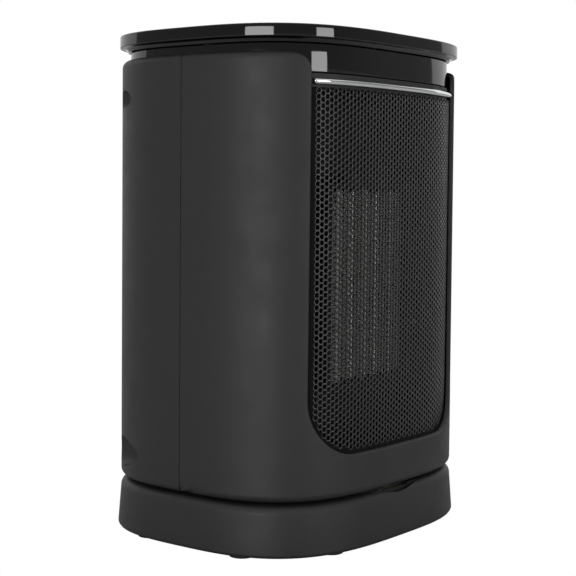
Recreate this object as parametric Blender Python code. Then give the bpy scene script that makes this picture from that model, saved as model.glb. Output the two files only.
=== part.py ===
"""Oscillating tabletop ceramic heater, built as an assembly of separate pieces.

Frame: origin at the bottom centre, +Z up, the air outlet faces -Y. Units are metres.
The base stands still on its feet. Everything above it swings about the vertical axis.
"""

import math

import bmesh
import bpy
from mathutils import Matrix, Vector

MM = 0.001
FIT = 0.3 * MM  # gap kept between pieces that touch
CUT = 2.0 * MM  # how far a cutter runs past the wall it cuts

# Overall size
BODY_WIDTH = 177.6 * MM
BODY_DEPTH = 147.4 * MM
HEIGHT = 260.0 * MM
FRONT_SQUARENESS = 3.16
REAR_SQUARENESS = 2.9
OUTLINE_STEPS = 12  # points in each quarter of the plan outline

# Base
FOOT_HEIGHT = 2.5 * MM
FOOT_RADIUS = 6.5 * MM
FOOT_INSET = 4.5 * MM
FOOT_SIDE_Y = 31.0 * MM
FOOT_FRONT_X = 44.0 * MM
FOOT_SPIGOT_RADIUS = 3.0 * MM
FOOT_SPIGOT_HEIGHT = 1.2 * MM
FOOT_EDGE = 0.5 * MM
BASE_TOP = 27.8 * MM
BASE_FLARE_TOP = 0.8 * MM
BASE_FLARE_BOTTOM = 2.3 * MM
BASE_TOP_FILLET = 4.5 * MM
BASE_BOTTOM_FILLET = 1.8 * MM
BASE_WALL = 2.2 * MM
BASE_PLATE_THICKNESS = 2.0 * MM
RECESS_EDGE = 2.2 * MM  # from the recess to the front of the plan outline
RECESS_DEPTH = 1.0 * MM
NOTCH_EDGE = 0.3 * MM  # how far the front and rear notches run past the plan outline
NOTCH_CHORD = 3.2 * MM
NOTCH_DEPTH = 2.9 * MM

# Turntable
SWING_GAP = 1.6 * MM
PIVOT_RADIUS = 12.0 * MM
PIVOT_BORE = 9.0 * MM
PIVOT_END = 2.3 * MM  # how far the pivot shows under its retaining ring
COLLAR_WALL = 3.0 * MM
COLLAR_DROP = 1.9 * MM
GLIDE_EDGE = 5.5 * MM
GLIDE_WIDTH = 6.0 * MM
FLOOR_THICKNESS = 2.4 * MM
FLOOR_LIFT = 0.6 * MM
GEAR_MODULE = 1.0 * MM
GEAR_TEETH = 48
PINION_TEETH = 12
GEAR_THICKNESS = 4.8 * MM
GEAR_PRESSURE_ANGLE = math.radians(25)
GEAR_BACKLASH = 0.12 * MM
GEAR_ADDENDUM = 0.8
GEAR_DEDENDUM = 1.1
GEAR_CENTRE_SLACK = 0.1 * MM
RETAINER_RADIUS = 15.0 * MM
RETAINER_THICKNESS = 2.5 * MM
SWING_MOTOR_RADIUS = 17.5 * MM
SWING_MOTOR_HEIGHT = 12.0 * MM
SWING_MOTOR_OFFSET = 8.0 * MM
SWING_SHAFT_RADIUS = 2.0 * MM
SWING_MOTOR_EAR = 21.0 * MM
SWING_MOTOR_EAR_WIDTH = 7.0 * MM
SWING_MOTOR_EAR_THICKNESS = 1.0 * MM

# Tip-over switch, behind the turntable's axis
PLUNGER_Y = 42.0 * MM
PLUNGER_RADIUS = 4.0 * MM
PLUNGER_TRAVEL = 4.0 * MM
PLUNGER_COLLAR_RADIUS = 6.0 * MM
PLUNGER_COLLAR_THICKNESS = 1.2 * MM
PLUNGER_STEM_RADIUS = 1.8 * MM
PLUNGER_STEM_GAP = 0.4 * MM
PLUNGER_EDGE = 0.8 * MM
SPRING_RADIUS = 3.4 * MM
SPRING_WIRE = 0.4 * MM
SPRING_TURNS = 4
SWITCH_SIZE = (20.0 * MM, 6.4 * MM, 8.9 * MM)

# Cord gland, in the back wall of the base
GLAND_RADIUS = 5.5 * MM
GLAND_BORE = 3.6 * MM
GLAND_HEAD = 7.2 * MM
GLAND_FLANGE_SLACK = 0.8 * MM
GLAND_SINK = 0.5 * MM
GLAND_Z = 14.5 * MM
GLAND_LENGTH = 6.0 * MM

# Shells
SHELL_TOP_DROP = 12.5 * MM  # from the top of the lid down to the shoulder
SHELL_TAPER = 0.7 * MM
SHELL_WALL = 2.4 * MM
SHELL_TOP_FILLET = 4.0 * MM
SHELL_BOTTOM_FILLET = 3.6 * MM
SHELL_LIP = 1.6 * MM
SEAM_GAP = 0.3 * MM
WINDOW_SIDE_TOP = 23.2 * MM  # from the side of the plan outline in to the window
WINDOW_SIDE_BOTTOM = 22.3 * MM
WINDOW_SILL = 20.9 * MM
WINDOW_CORNER = 28.0 * MM
WINDOW_FLARE = 9.5 * MM
WELL_INSET = 9.8 * MM
WELL_RISE = 13.9 * MM
WELL_DROP = 20.6 * MM
WELL_LOW_RADIUS = 8.0 * MM
WELL_HIGH_RADIUS = 4.8 * MM
WELL_WALL = 1.8 * MM
WELL_FLOOR_Y = 25.0 * MM
WELL_FLOOR_THICKNESS = 2.4 * MM
WELL_SKIN = 0.7 * MM
BOSS_RADIUS = 5.4 * MM
BOSS_LENGTH = 20.0 * MM
BOSS_RIB = 4.0 * MM
SCREW_RADIUS = 1.5 * MM
SCREW_HEAD_RADIUS = 3.4 * MM
SCREW_HEAD_HEIGHT = 2.2 * MM
SCREW_LENGTH = 38.0 * MM
SCREW_TIP = 2.0 * MM
PILOT_FLOOR = 2.0 * MM
SLOT_HEIGHT = 3.4 * MM
SLOT_PITCH = 7.4 * MM
SLOT_WIDTH = 44.0 * MM
SLOT_BRIDGE = 5.0 * MM
SLOT_FIELD_HEIGHT = 100.0 * MM

# Neck, lid and controls
NECK_WALL = 2.0 * MM
NECK_SINK = 9.8 * MM  # how far the neck reaches down inside the shoulder
LID_OVERHANG = 1.3 * MM
LID_BAND = 6.2 * MM
LID_COVE_HEIGHT = 2.0 * MM
LID_EDGE = 0.6 * MM
LID_WALL = 2.2 * MM
BUTTON_COUNT = 4
BUTTON_RADIUS = 6.2 * MM
BUTTON_PITCH = 24.0 * MM
BUTTON_SETBACK = 37.7 * MM
BUTTON_FLANGE = 7.6 * MM
BUTTON_FLANGE_THICKNESS = 1.2 * MM
BUTTON_STEM = 2.0 * MM
BUTTON_TRAVEL = 0.8 * MM
BUTTON_SINK = 0.2 * MM
BUTTON_EDGE = 0.4 * MM
BOARD_THICKNESS = 1.6 * MM
CONTROL_BOARD_SIZE = (104.0 * MM, 34.0 * MM)
CONTROL_BOARD_LIFT = 3.0 * MM
TACT_SIZE = 6.0 * MM
TACT_HEIGHT = 3.6 * MM
POST_RADIUS = 3.0 * MM
DUCT_HOLE_RADIUS = 7.0 * MM

# Grille and trim
GRILLE_THICKNESS = 0.8 * MM
GRILLE_MARGIN = 3.0 * MM
FRAME_THICKNESS = 2.4 * MM
FRAME_OUTER_MARGIN = 4.0 * MM
FRAME_INNER_MARGIN = 3.0 * MM
FRAME_NECK_GAP = 0.5 * MM
FRAME_TOP_BAR = 8.0 * MM
TRIM_END_GAP = 1.2 * MM
TRIM_HEIGHT = 3.4 * MM
TRIM_DROP = 3.8 * MM
TRIM_GRILLE_GAP = 1.1 * MM
TRIM_DEPTH = 2.3 * MM

# Heating element
ELEMENT_DROP = 8.4 * MM  # its centre sits this far below the middle of the window
ELEMENT_HEIGHT = 99.0 * MM
ELEMENT_SETBACK = 23.7 * MM
ELEMENT_DEPTH = 12.0 * MM
BAR_COUNT = 3
BAR_WIDTH = 4.2 * MM
FIN_WIDTH = 8.8 * MM
FIN_PLATE = 0.6 * MM
FIN_STRIP = 0.5 * MM
FIN_CRESTS = 17
FIN_END_CLEARANCE = 1.0 * MM
FIN_SETBACK = 0.5 * MM
DUCT_WALL = 2.5 * MM
DUCT_FRONT_REACH = 4.0 * MM
CUTOUT_RADIUS = 8.0 * MM
CUTOUT_HEIGHT = 5.0 * MM

# Fan and its motor
SHROUD_Y = -24.0 * MM
SHROUD_THICKNESS = 2.5 * MM
SHROUD_TOP_GAP = 3.0 * MM
FAN_TIP_GAP = 2.0 * MM
FAN_RING_WALL = 2.2 * MM
FAN_RING_LENGTH = 19.0 * MM
FAN_RADIUS = 48.5 * MM
FAN_HUB_RADIUS = 15.0 * MM
FAN_HUB_LENGTH = 11.0 * MM
FAN_SETBACK = 4.0 * MM
FAN_BLADES = 7
FAN_BLADE_THICKNESS = 1.6 * MM
FAN_BLADE_PITCH = math.radians(32)
FAN_BLADE_CHORD = 17.0 * MM
SPIDER_ARMS = 4
SPIDER_WIDTH = 7.0 * MM
SPIDER_THICKNESS = 2.6 * MM
SPIDER_HUB = 17.0 * MM
SHAFT_RADIUS = 1.6 * MM
BUSH_RADIUS = 4.0 * MM
BUSH_LENGTH = 5.0 * MM
BRACKET_THICKNESS = 1.8 * MM
BRACKET_WIDTH = 12.0 * MM
STATOR_SIZE = (56.0 * MM, 46.0 * MM)
STATOR_THICKNESS = 12.0 * MM
STATOR_WINDOW = (28.0 * MM, 13.0 * MM)
STATOR_CROWN = 5.0 * MM  # iron above the rotor
STATOR_YOKE = 6.0 * MM  # iron under the coil
ROTOR_RADIUS = 11.0 * MM
ROTOR_AIR_GAP = 0.5 * MM
COIL_SIZE = (24.0 * MM, 11.5 * MM, 22.0 * MM)
BRACKET_STANDOFF = 7.0 * MM
BRACKET_INSET = 3.0 * MM
BRACKET_LEG = (5.8 * MM, 10.0 * MM)
WELD = 0.5 * MM  # overlap of shapes that are joined into one piece

# Power board, above the body floor
POWER_BOARD_SIZE = (90.0 * MM, 40.0 * MM)
POWER_BOARD_SETBACK = 35.7 * MM
POWER_BOARD_LIFT = 6.0 * MM
RELAY_SIZE = (19.0 * MM, 15.0 * MM, 15.0 * MM)

# Heights and places that follow from the sizes above
HALF_WIDTH = BODY_WIDTH / 2
HALF_DEPTH = BODY_DEPTH / 2
SHELL_BOTTOM = BASE_TOP + SWING_GAP
SHELL_TOP = HEIGHT - SHELL_TOP_DROP
RECESS_RADIUS = HALF_DEPTH - RECESS_EDGE
RECESS_FLOOR = BASE_TOP - RECESS_DEPTH
BASE_CEILING = RECESS_FLOOR - BASE_WALL
GLIDE_OUTER = RECESS_RADIUS - GLIDE_EDGE
GLIDE_INNER = GLIDE_OUTER - GLIDE_WIDTH
FLOOR_BOTTOM = SHELL_BOTTOM + FLOOR_LIFT
FLOOR_TOP = FLOOR_BOTTOM + FLOOR_THICKNESS
GEAR_TOP = BASE_CEILING - COLLAR_DROP - FIT
GEAR_BOTTOM = GEAR_TOP - GEAR_THICKNESS
PIVOT_BOTTOM = GEAR_BOTTOM - FIT - RETAINER_THICKNESS - PIVOT_END
PINION_X = GEAR_MODULE * (GEAR_TEETH + PINION_TEETH) / 2 + GEAR_CENTRE_SLACK
SWING_MOTOR_X = PINION_X + SWING_MOTOR_OFFSET
PLATE_TOP = FOOT_HEIGHT + BASE_PLATE_THICKNESS
SWITCH_FLOOR = BASE_CEILING - FIT - SWITCH_SIZE[2]
PLUNGER_STEM_TOP = SWITCH_FLOOR - PLUNGER_STEM_GAP
LID_LIP = HEIGHT - LID_BAND - LID_COVE_HEIGHT
LID_CEILING = HEIGHT - LID_WALL
NECK_INSET = SHELL_TOP_FILLET + FIT
NECK_TOP = LID_LIP - FIT
NECK_BOTTOM = SHELL_TOP - NECK_SINK
NECK_FLOOR_TOP = NECK_BOTTOM + NECK_WALL
WINDOW_HALF_TOP = HALF_WIDTH - WINDOW_SIDE_TOP
WINDOW_HALF_BOTTOM = HALF_WIDTH - WINDOW_SIDE_BOTTOM
WINDOW_BOTTOM = SHELL_BOTTOM + WINDOW_SILL
WELL_X = HALF_WIDTH - WELL_INSET
WELL_LOW_Z = SHELL_BOTTOM + WELL_RISE
WELL_HIGH_Z = SHELL_TOP - WELL_DROP
FRAME_TOP = NECK_BOTTOM - FRAME_NECK_GAP
TRIM_Z = FRAME_TOP - TRIM_DROP
TRIM_HALF_WIDTH = WINDOW_HALF_TOP - TRIM_END_GAP
GRILLE_TOP = TRIM_Z - TRIM_HEIGHT / 2 - TRIM_GRILLE_GAP
BUTTON_Y = BUTTON_SETBACK - HALF_DEPTH
POWER_BOARD_Y = HALF_DEPTH - POWER_BOARD_SETBACK
ELEMENT_FRONT_Y = ELEMENT_SETBACK - HALF_DEPTH
ELEMENT_Z = (WINDOW_BOTTOM + GRILLE_TOP) / 2 - ELEMENT_DROP
ELEMENT_PITCH = BAR_WIDTH + 2 * FIN_WIDTH + 4 * FIT + 2 * FIT
ELEMENT_HALF_WIDTH = BAR_COUNT * ELEMENT_PITCH / 2
ELEMENT_BACK_Y = ELEMENT_FRONT_Y + ELEMENT_DEPTH
FAN_FRONT_Y = SHROUD_Y + FAN_SETBACK
FAN_RING_INNER = FAN_RADIUS + FAN_TIP_GAP
CONTROL_BOARD_Z = NECK_FLOOR_TOP + CONTROL_BOARD_LIFT
SHELL_INNER = -SHELL_WALL
GRILLE_FACE = SHELL_INNER - FIT
FRAME_FACE = GRILLE_FACE - GRILLE_THICKNESS - FIT
SPIDER_BACK_Y = SHROUD_Y + FAN_RING_LENGTH
SPIDER_FRONT_Y = SPIDER_BACK_Y - SPIDER_THICKNESS


# ---------------------------------------------------------------- materials

def make_material(name, colour, roughness, metallic=0.0):
    material = bpy.data.materials.new(name)
    material.use_nodes = True
    shader = material.node_tree.nodes["Principled BSDF"]
    shader.inputs["Base Color"].default_value = (*colour, 1.0)
    shader.inputs["Roughness"].default_value = roughness
    shader.inputs["Metallic"].default_value = metallic
    return material


def make_materials():
    return {
        "shell_plastic": make_material("shell_plastic", (0.035, 0.035, 0.037), 0.55),
        "gloss_plastic": make_material("gloss_plastic", (0.012, 0.012, 0.013), 0.12),
        "inner_plastic": make_material("inner_plastic", (0.02, 0.02, 0.021), 0.6),
        "nylon": make_material("nylon", (0.75, 0.73, 0.66), 0.45),
        "rubber": make_material("rubber", (0.02, 0.02, 0.02), 0.8),
        "grille_metal": make_material("grille_metal", (0.03, 0.03, 0.032), 0.3, 1.0),
        "chrome": make_material("chrome", (0.85, 0.86, 0.88), 0.08, 1.0),
        "aluminium": make_material("aluminium", (0.75, 0.76, 0.77), 0.35, 1.0),
        "steel": make_material("steel", (0.5, 0.5, 0.51), 0.35, 1.0),
        "copper": make_material("copper", (0.72, 0.33, 0.16), 0.35, 1.0),
        "bronze": make_material("bronze", (0.55, 0.4, 0.2), 0.4, 1.0),
        "board": make_material("board", (0.03, 0.16, 0.07), 0.5),
    }


# ---------------------------------------------------------------- shape helpers

def finish_mesh(name, work, material, smooth_angle=30):
    """Turns a bmesh into a named object whose faces point outwards."""
    bmesh.ops.recalc_face_normals(work, faces=work.faces)
    if work.calc_volume(signed=True) < 0:
        bmesh.ops.reverse_faces(work, faces=work.faces)
    mesh = bpy.data.meshes.new(name)
    work.to_mesh(mesh)
    work.free()
    piece = bpy.data.objects.new(name, mesh)
    bpy.context.scene.collection.objects.link(piece)
    if material:
        mesh.materials.append(material)
    mesh.shade_smooth()
    mesh.set_sharp_from_angle(angle=math.radians(smooth_angle))
    return piece


def hide_cutter(cutter):
    cutter.hide_render = True
    cutter.display_type = "WIRE"


def combine(piece, other, operation):
    """Adds a Boolean of a helper object to a piece, and hides the helper."""
    modifier = piece.modifiers.new(f"{operation}_{other.name}", "BOOLEAN")
    modifier.operation = operation
    modifier.solver = "EXACT"
    modifier.object = other
    hide_cutter(other)


def cut(piece, other):
    combine(piece, other, "DIFFERENCE")


def join(piece, other):
    combine(piece, other, "UNION")


def keep_inside(piece, other):
    combine(piece, other, "INTERSECT")


def to_axis(axis, a, b, along):
    """A point from its two flat coordinates and its place along the axis."""
    if axis == "X":
        return (along, a, b)
    if axis == "Y":
        return (a, along, b)
    return (a, b, along)


def prism(name, outline, axis, start, end, material=None):
    """A flat outline pushed along an axis. The outline is (x, y), (x, z) or (y, z) points."""
    work = bmesh.new()
    corners = [work.verts.new(to_axis(axis, a, b, start)) for a, b in outline]
    face = work.faces.new(corners)
    grown = bmesh.ops.extrude_face_region(work, geom=[face])
    moved = [item for item in grown["geom"] if isinstance(item, bmesh.types.BMVert)]
    bmesh.ops.translate(work, verts=moved, vec=Vector(to_axis(axis, 0, 0, end - start)))
    return finish_mesh(name, work, material)


def circle(radius, steps, centre=(0.0, 0.0)):
    return [
        (centre[0] + radius * math.cos(2 * math.pi * i / steps),
         centre[1] + radius * math.sin(2 * math.pi * i / steps))
        for i in range(steps)
    ]


def rectangle(width, height, centre=(0.0, 0.0)):
    x, y = centre
    return [(x - width / 2, y - height / 2), (x + width / 2, y - height / 2),
            (x + width / 2, y + height / 2), (x - width / 2, y + height / 2)]


def arc(centre, radius, start, end, steps):
    """Points on an arc, angles in degrees, both ends included."""
    points = []
    for i in range(steps + 1):
        angle = math.radians(start + (end - start) * i / steps)
        points.append((centre[0] + radius * math.cos(angle), centre[1] + radius * math.sin(angle)))
    return points


def rod(name, radius, axis, start, end, centre, material=None, steps=20):
    return prism(name, circle(radius, steps, centre), axis, start, end, material)


def lathe(name, profile, material=None, steps=24):
    """Turns a closed (radius, height) profile about +Z through the object's own origin."""
    work = bmesh.new()
    points = [work.verts.new((radius, 0, height)) for radius, height in profile]
    loop = [work.edges.new((points[i - 1], points[i])) for i in range(len(points))]
    bmesh.ops.spin(work, geom=points + loop, cent=(0, 0, 0), axis=(0, 0, 1),
                   angle=2 * math.pi, steps=steps)
    bmesh.ops.remove_doubles(work, verts=work.verts, dist=1e-7)
    bmesh.ops.dissolve_degenerate(work, edges=work.edges, dist=1e-8)
    loose = [edge for edge in work.edges if not edge.link_faces]
    bmesh.ops.delete(work, geom=loose, context="EDGES")
    doubled = [face for face in work.faces if all(abs(v.co.x) + abs(v.co.y) < 1e-9 for v in face.verts)]
    bmesh.ops.delete(work, geom=doubled, context="FACES")
    return finish_mesh(name, work, material)


def outline(offset, squareness_front=FRONT_SQUARENESS, squareness_rear=REAR_SQUARENESS):
    """The body's plan outline moved out by offset, as (x, y) from +X round through +Y.

    Each half is a superellipse. Points are spaced by length and by turning together,
    so that the corners get more of them than the nearly flat sides.
    """
    fine = 400
    quarter = {}
    for half, power in (("rear", squareness_rear), ("front", squareness_front)):
        points = []
        for i in range(fine + 1):
            t = math.pi / 2 * i / fine
            points.append((HALF_WIDTH * math.cos(t) ** (2 / power) if i < fine else 0.0,
                           HALF_DEPTH * math.sin(t) ** (2 / power) if i else 0.0))
        normals = []
        for x, y in points:
            nx = (x / HALF_WIDTH) ** (power - 1) / HALF_WIDTH
            ny = (y / HALF_DEPTH) ** (power - 1) / HALF_DEPTH
            size = math.hypot(nx, ny)
            normals.append((nx / size, ny / size))
        run = [0.0]
        for i in range(fine):
            length = math.dist(points[i], points[i + 1]) / (HALF_WIDTH + HALF_DEPTH)
            turn = math.acos(min(1.0, normals[i][0] * normals[i + 1][0] + normals[i][1] * normals[i + 1][1]))
            run.append(run[-1] + length + turn / (math.pi / 2))
        picked = []
        for k in range(OUTLINE_STEPS + 1):
            target = run[-1] * k / OUTLINE_STEPS
            i = min(range(fine + 1), key=lambda j: abs(run[j] - target))
            (x, y), (nx, ny) = points[i], normals[i]
            picked.append((x + offset * nx, y + offset * ny))
        quarter[half] = picked
    rear, front = quarter["rear"], quarter["front"]
    return (rear + [(-x, y) for x, y in reversed(rear[:-1])]
            + [(-x, -y) for x, y in front[1:]] + [(x, -y) for x, y in reversed(front[1:-1])])


def outline_half(offset, half):
    """The front or rear half of the outline, with its ends half a seam gap off the seam."""
    points = outline(offset)
    count = 2 * OUTLINE_STEPS
    chosen = points[:count + 1] if half == "rear" else points[count:] + points[:1]
    side = 1 if half == "rear" else -1
    ends = (chosen[0][0], side * SEAM_GAP / 2), (chosen[-1][0], side * SEAM_GAP / 2)
    return [ends[0]] + chosen[1:-1] + [ends[1]]


def bridge(work, rows, wrap_rows, wrap_points):
    """Quads between neighbouring rows of vertices."""
    row_pairs = len(rows) if wrap_rows else len(rows) - 1
    count = len(rows[0])
    point_pairs = count if wrap_points else count - 1
    for i in range(row_pairs):
        a, b = rows[i], rows[(i + 1) % len(rows)]
        for j in range(point_pairs):
            k = (j + 1) % count
            work.faces.new((a[j], a[k], b[k], b[j]))


def sweep(name, profile, material=None, half=None, capped=False):
    """Carries a profile of (offset, height) points round the plan outline.

    A closed profile makes a ring, or a half ring with flat ends at the seam. A capped one
    is open, and its first and last rows are closed by flat faces.
    """
    work = bmesh.new()
    rows = []
    for offset, height in profile:
        points = outline_half(offset, half) if half else outline(offset)
        rows.append([work.verts.new((x, y, height)) for x, y in points])
    bridge(work, rows, wrap_rows=not capped, wrap_points=half is None)
    if half and not capped:
        work.faces.new([row[0] for row in rows])
        work.faces.new([row[-1] for row in reversed(rows)])
    if capped and half is None:
        work.faces.new(rows[0])
        work.faces.new(list(reversed(rows[-1])))
    return finish_mesh(name, work, material)


def place(piece, location=(0, 0, 0), axis="Z"):
    """Puts a turned piece at a location, with its own +Z along the named axis."""
    if axis == "Y":
        piece.rotation_euler = (-math.pi / 2, 0, 0)
    if axis == "X":
        piece.rotation_euler = (0, math.pi / 2, 0)
    piece.location = location
    return piece


def make_pivot(name, location):
    pivot = bpy.data.objects.new(name, None)
    pivot.empty_display_size = 0.02
    pivot.location = location
    bpy.context.scene.collection.objects.link(pivot)
    return pivot


def hang_on(pivot, pieces):
    """Parents pieces to an empty on their joint's axis and leaves them where they are."""
    for piece in pieces:
        piece.parent = pivot
        piece.matrix_parent_inverse = Matrix.Translation(pivot.location).inverted()


# ---------------------------------------------------------------- outlines of the front

def window_outline(grow, top, flared=False):
    """The U-shaped front opening as (x, z): straight drafted sides and round lower corners."""
    radius = WINDOW_CORNER + grow
    bottom = WINDOW_BOTTOM - grow
    low = WINDOW_HALF_BOTTOM + grow
    high = WINDOW_HALF_TOP + grow
    right = arc((low - radius, bottom + radius), radius, -90, 0, 7)
    if flared:
        flare_z = SHELL_TOP - WINDOW_FLARE
        right += [(high, flare_z)]
        right += arc((high + WINDOW_FLARE, flare_z), WINDOW_FLARE, 180, 100, 5)[1:]
        right += [(high + WINDOW_FLARE, top)]
    else:
        right += [(high, top)]
    return right + [(-x, z) for x, z in reversed(right)]


def window_prism(name, grow, top, flared=False):
    return prism(name, window_outline(grow, top, flared), "Y", -HALF_DEPTH - 10 * MM, -20 * MM)


def stadium(half_width, height, centre_z):
    radius = height / 2
    right = arc((half_width - radius, centre_z), radius, -90, 90, 6)
    return right + [(-x, z) for x, z in reversed(right)]


# ---------------------------------------------------------------- base

def make_base_cover(look):
    wall_inner = BASE_FLARE_BOTTOM - BASE_WALL
    top_inner = BASE_FLARE_TOP - BASE_WALL
    bottom = FOOT_HEIGHT
    profile = [(top_inner - BASE_WALL, BASE_CEILING), (top_inner, BASE_CEILING - BASE_WALL)]
    profile += [(wall_inner, bottom + BASE_BOTTOM_FILLET), (wall_inner, bottom)]
    low = arc((BASE_FLARE_BOTTOM - BASE_BOTTOM_FILLET, bottom + BASE_BOTTOM_FILLET),
              BASE_BOTTOM_FILLET, -60, 0, 3)
    low[0] = (low[0][0], bottom)
    profile += low
    profile += arc((BASE_FLARE_TOP - BASE_TOP_FILLET, BASE_TOP - BASE_TOP_FILLET),
                   BASE_TOP_FILLET, 0, 90, 4)
    cover = sweep("base_cover", profile, look["shell_plastic"], capped=True)
    collar = rod("collar", PIVOT_RADIUS + FIT + COLLAR_WALL, "Z",
                 BASE_CEILING - COLLAR_DROP, RECESS_FLOOR - MM, (0, 0), steps=32)
    join(cover, collar)
    cut(cover, rod("recess", RECESS_RADIUS, "Z", RECESS_FLOOR, BASE_TOP + CUT, (0, 0), steps=48))
    for way in (-1, 1):
        cut(cover, prism(f"notch_{way}", notch_outline(way), "Z", BASE_TOP - NOTCH_DEPTH, BASE_TOP + CUT))
    cut(cover, rod("pivot_hole", PIVOT_RADIUS + FIT, "Z", 0, BASE_TOP + CUT, (0, 0), steps=32))
    cut(cover, rod("gland_hole", GLAND_RADIUS + FIT, "Y", HALF_DEPTH - 15 * MM,
                   HALF_DEPTH + 10 * MM, (0, GLAND_Z)))
    return cover


def notch_outline(way):
    """Segment of a circle that opens the recess through the front or rear edge of the base."""
    radius = HALF_DEPTH + NOTCH_EDGE
    half_angle = math.degrees(math.acos((HALF_DEPTH - NOTCH_CHORD) / radius))
    return arc((0, 0), radius, way * 90 - half_angle, way * 90 + half_angle, 12)


def foot_places():
    """Two feet near each edge of the base, set in by the same distance from its outline."""
    def edge_at(wanted, index):
        points = outline(BASE_FLARE_BOTTOM - FOOT_INSET - FOOT_RADIUS)
        quarter = points[:OUTLINE_STEPS + 1]
        for (x0, y0), (x1, y1) in zip(quarter, quarter[1:]):
            low, high = sorted(((x0, y0)[index], (x1, y1)[index]))
            if low <= wanted <= high:
                share = (wanted - (x0, y0)[index]) / ((x1, y1)[index] - (x0, y0)[index])
                return (x0 + share * (x1 - x0), y0 + share * (y1 - y0))
        raise ValueError("a foot lies outside the base")
    side_x, side_y = edge_at(FOOT_SIDE_Y, 1)
    front_x, front_y = edge_at(FOOT_FRONT_X, 0)
    places = [(sx * side_x, sy * side_y) for sx in (-1, 1) for sy in (-1, 1)]
    places += [(sx * front_x, sy * front_y) for sx in (-1, 1) for sy in (-1, 1)]
    return places


def make_base_plate(look):
    offset = BASE_FLARE_BOTTOM - BASE_WALL - FIT
    plate = sweep("base_plate", [(offset, FOOT_HEIGHT), (offset, PLATE_TOP)],
                  look["shell_plastic"], capped=True)
    cut(plate, rod("plunger_hole", PLUNGER_RADIUS + FIT, "Z", 0, PLATE_TOP + CUT, (0, PLUNGER_Y)))
    for i, (x, y) in enumerate(foot_places(), 1):
        cut(plate, rod(f"foot_hole_{i}", FOOT_SPIGOT_RADIUS + FIT, "Z", 0, PLATE_TOP + CUT, (x, y),
                       steps=12))
    return plate


def make_feet(look):
    feet = []
    for i, (x, y) in enumerate(foot_places(), 1):
        profile = [(0, 0), (FOOT_RADIUS - FOOT_EDGE, 0), (FOOT_RADIUS, FOOT_EDGE),
                   (FOOT_RADIUS, FOOT_HEIGHT - FIT), (FOOT_SPIGOT_RADIUS, FOOT_HEIGHT - FIT),
                   (FOOT_SPIGOT_RADIUS, FOOT_HEIGHT + FOOT_SPIGOT_HEIGHT),
                   (0, FOOT_HEIGHT + FOOT_SPIGOT_HEIGHT)]
        foot = lathe(f"foot_{i}", profile, look["rubber"], steps=12)
        feet.append(place(foot, (x, y, 0)))
    return feet


def make_swing_motor(look):
    """A flat geared can on the base plate, its shaft off centre, held by two ears."""
    bottom = PLATE_TOP + FIT
    top = bottom + SWING_MOTOR_HEIGHT
    motor = rod("swing_motor", SWING_MOTOR_RADIUS, "Z", bottom, top, (SWING_MOTOR_X, 0),
                look["steel"], steps=28)
    ears = prism("motor_ears", rectangle(SWING_MOTOR_EAR_WIDTH, 2 * SWING_MOTOR_EAR, (SWING_MOTOR_X, 0)),
                 "Z", bottom, bottom + SWING_MOTOR_EAR_THICKNESS)
    join(motor, ears)
    join(motor, rod("motor_shaft", SWING_SHAFT_RADIUS, "Z", top - MM, GEAR_TOP, (PINION_X, 0), steps=12))
    return motor


def gear_outline(teeth, phase, flank_points):
    """Spur gear outline: involute flanks between a root and a tip circle, with backlash."""
    pitch_radius = GEAR_MODULE * teeth / 2
    base_radius = pitch_radius * math.cos(GEAR_PRESSURE_ANGLE)
    root = pitch_radius - GEAR_DEDENDUM * GEAR_MODULE
    tip = pitch_radius + GEAR_ADDENDUM * GEAR_MODULE
    half_tooth = (math.pi * GEAR_MODULE / 2 - GEAR_BACKLASH) / (2 * pitch_radius)
    at_pitch = math.tan(GEAR_PRESSURE_ANGLE) - GEAR_PRESSURE_ANGLE

    def half_angle(radius):
        angle = math.acos(min(1.0, base_radius / max(radius, base_radius)))
        return half_tooth + at_pitch - (math.tan(angle) - angle)

    radii = [root + (tip - root) * i / (flank_points - 1) for i in range(flank_points)]
    points = []
    for tooth in range(teeth):
        middle = phase + 2 * math.pi * tooth / teeth
        flank = [(radius, middle - half_angle(radius)) for radius in radii]
        flank += [(radius, middle + half_angle(radius)) for radius in reversed(radii)]
        points += [(radius * math.cos(angle), radius * math.sin(angle)) for radius, angle in flank]
    return points


def make_drive_pinion(look):
    """The pinion on the motor's shaft, turned so that a gap faces the gear's tooth."""
    phase = math.pi + math.pi / PINION_TEETH
    pinion = prism("drive_pinion", gear_outline(PINION_TEETH, phase, 3), "Z",
                   GEAR_BOTTOM, GEAR_TOP, look["nylon"])
    pinion.data.transform(Matrix.Translation((0, 0, -GEAR_BOTTOM)))
    place(pinion, (PINION_X, 0, GEAR_BOTTOM))
    cut(pinion, rod("pinion_bore", SWING_SHAFT_RADIUS + FIT, "Z", 0, GEAR_TOP + CUT,
                    (PINION_X, 0), steps=12))
    return pinion


def make_glide_ring(look):
    ring = rod("glide_ring", GLIDE_OUTER, "Z", RECESS_FLOOR + FIT, FLOOR_BOTTOM - FIT, (0, 0),
               look["nylon"], steps=32)
    cut(ring, rod("glide_hole", GLIDE_INNER, "Z", 0, FLOOR_TOP, (0, 0), steps=32))
    return ring


def make_tip_switch(look):
    """A microswitch over the plunger, under the base cover's ceiling."""
    width, depth, height = SWITCH_SIZE
    return prism("tip_switch", rectangle(width, depth, (0, PLUNGER_Y)), "Z",
                 SWITCH_FLOOR, SWITCH_FLOOR + height, look["inner_plastic"])


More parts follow.
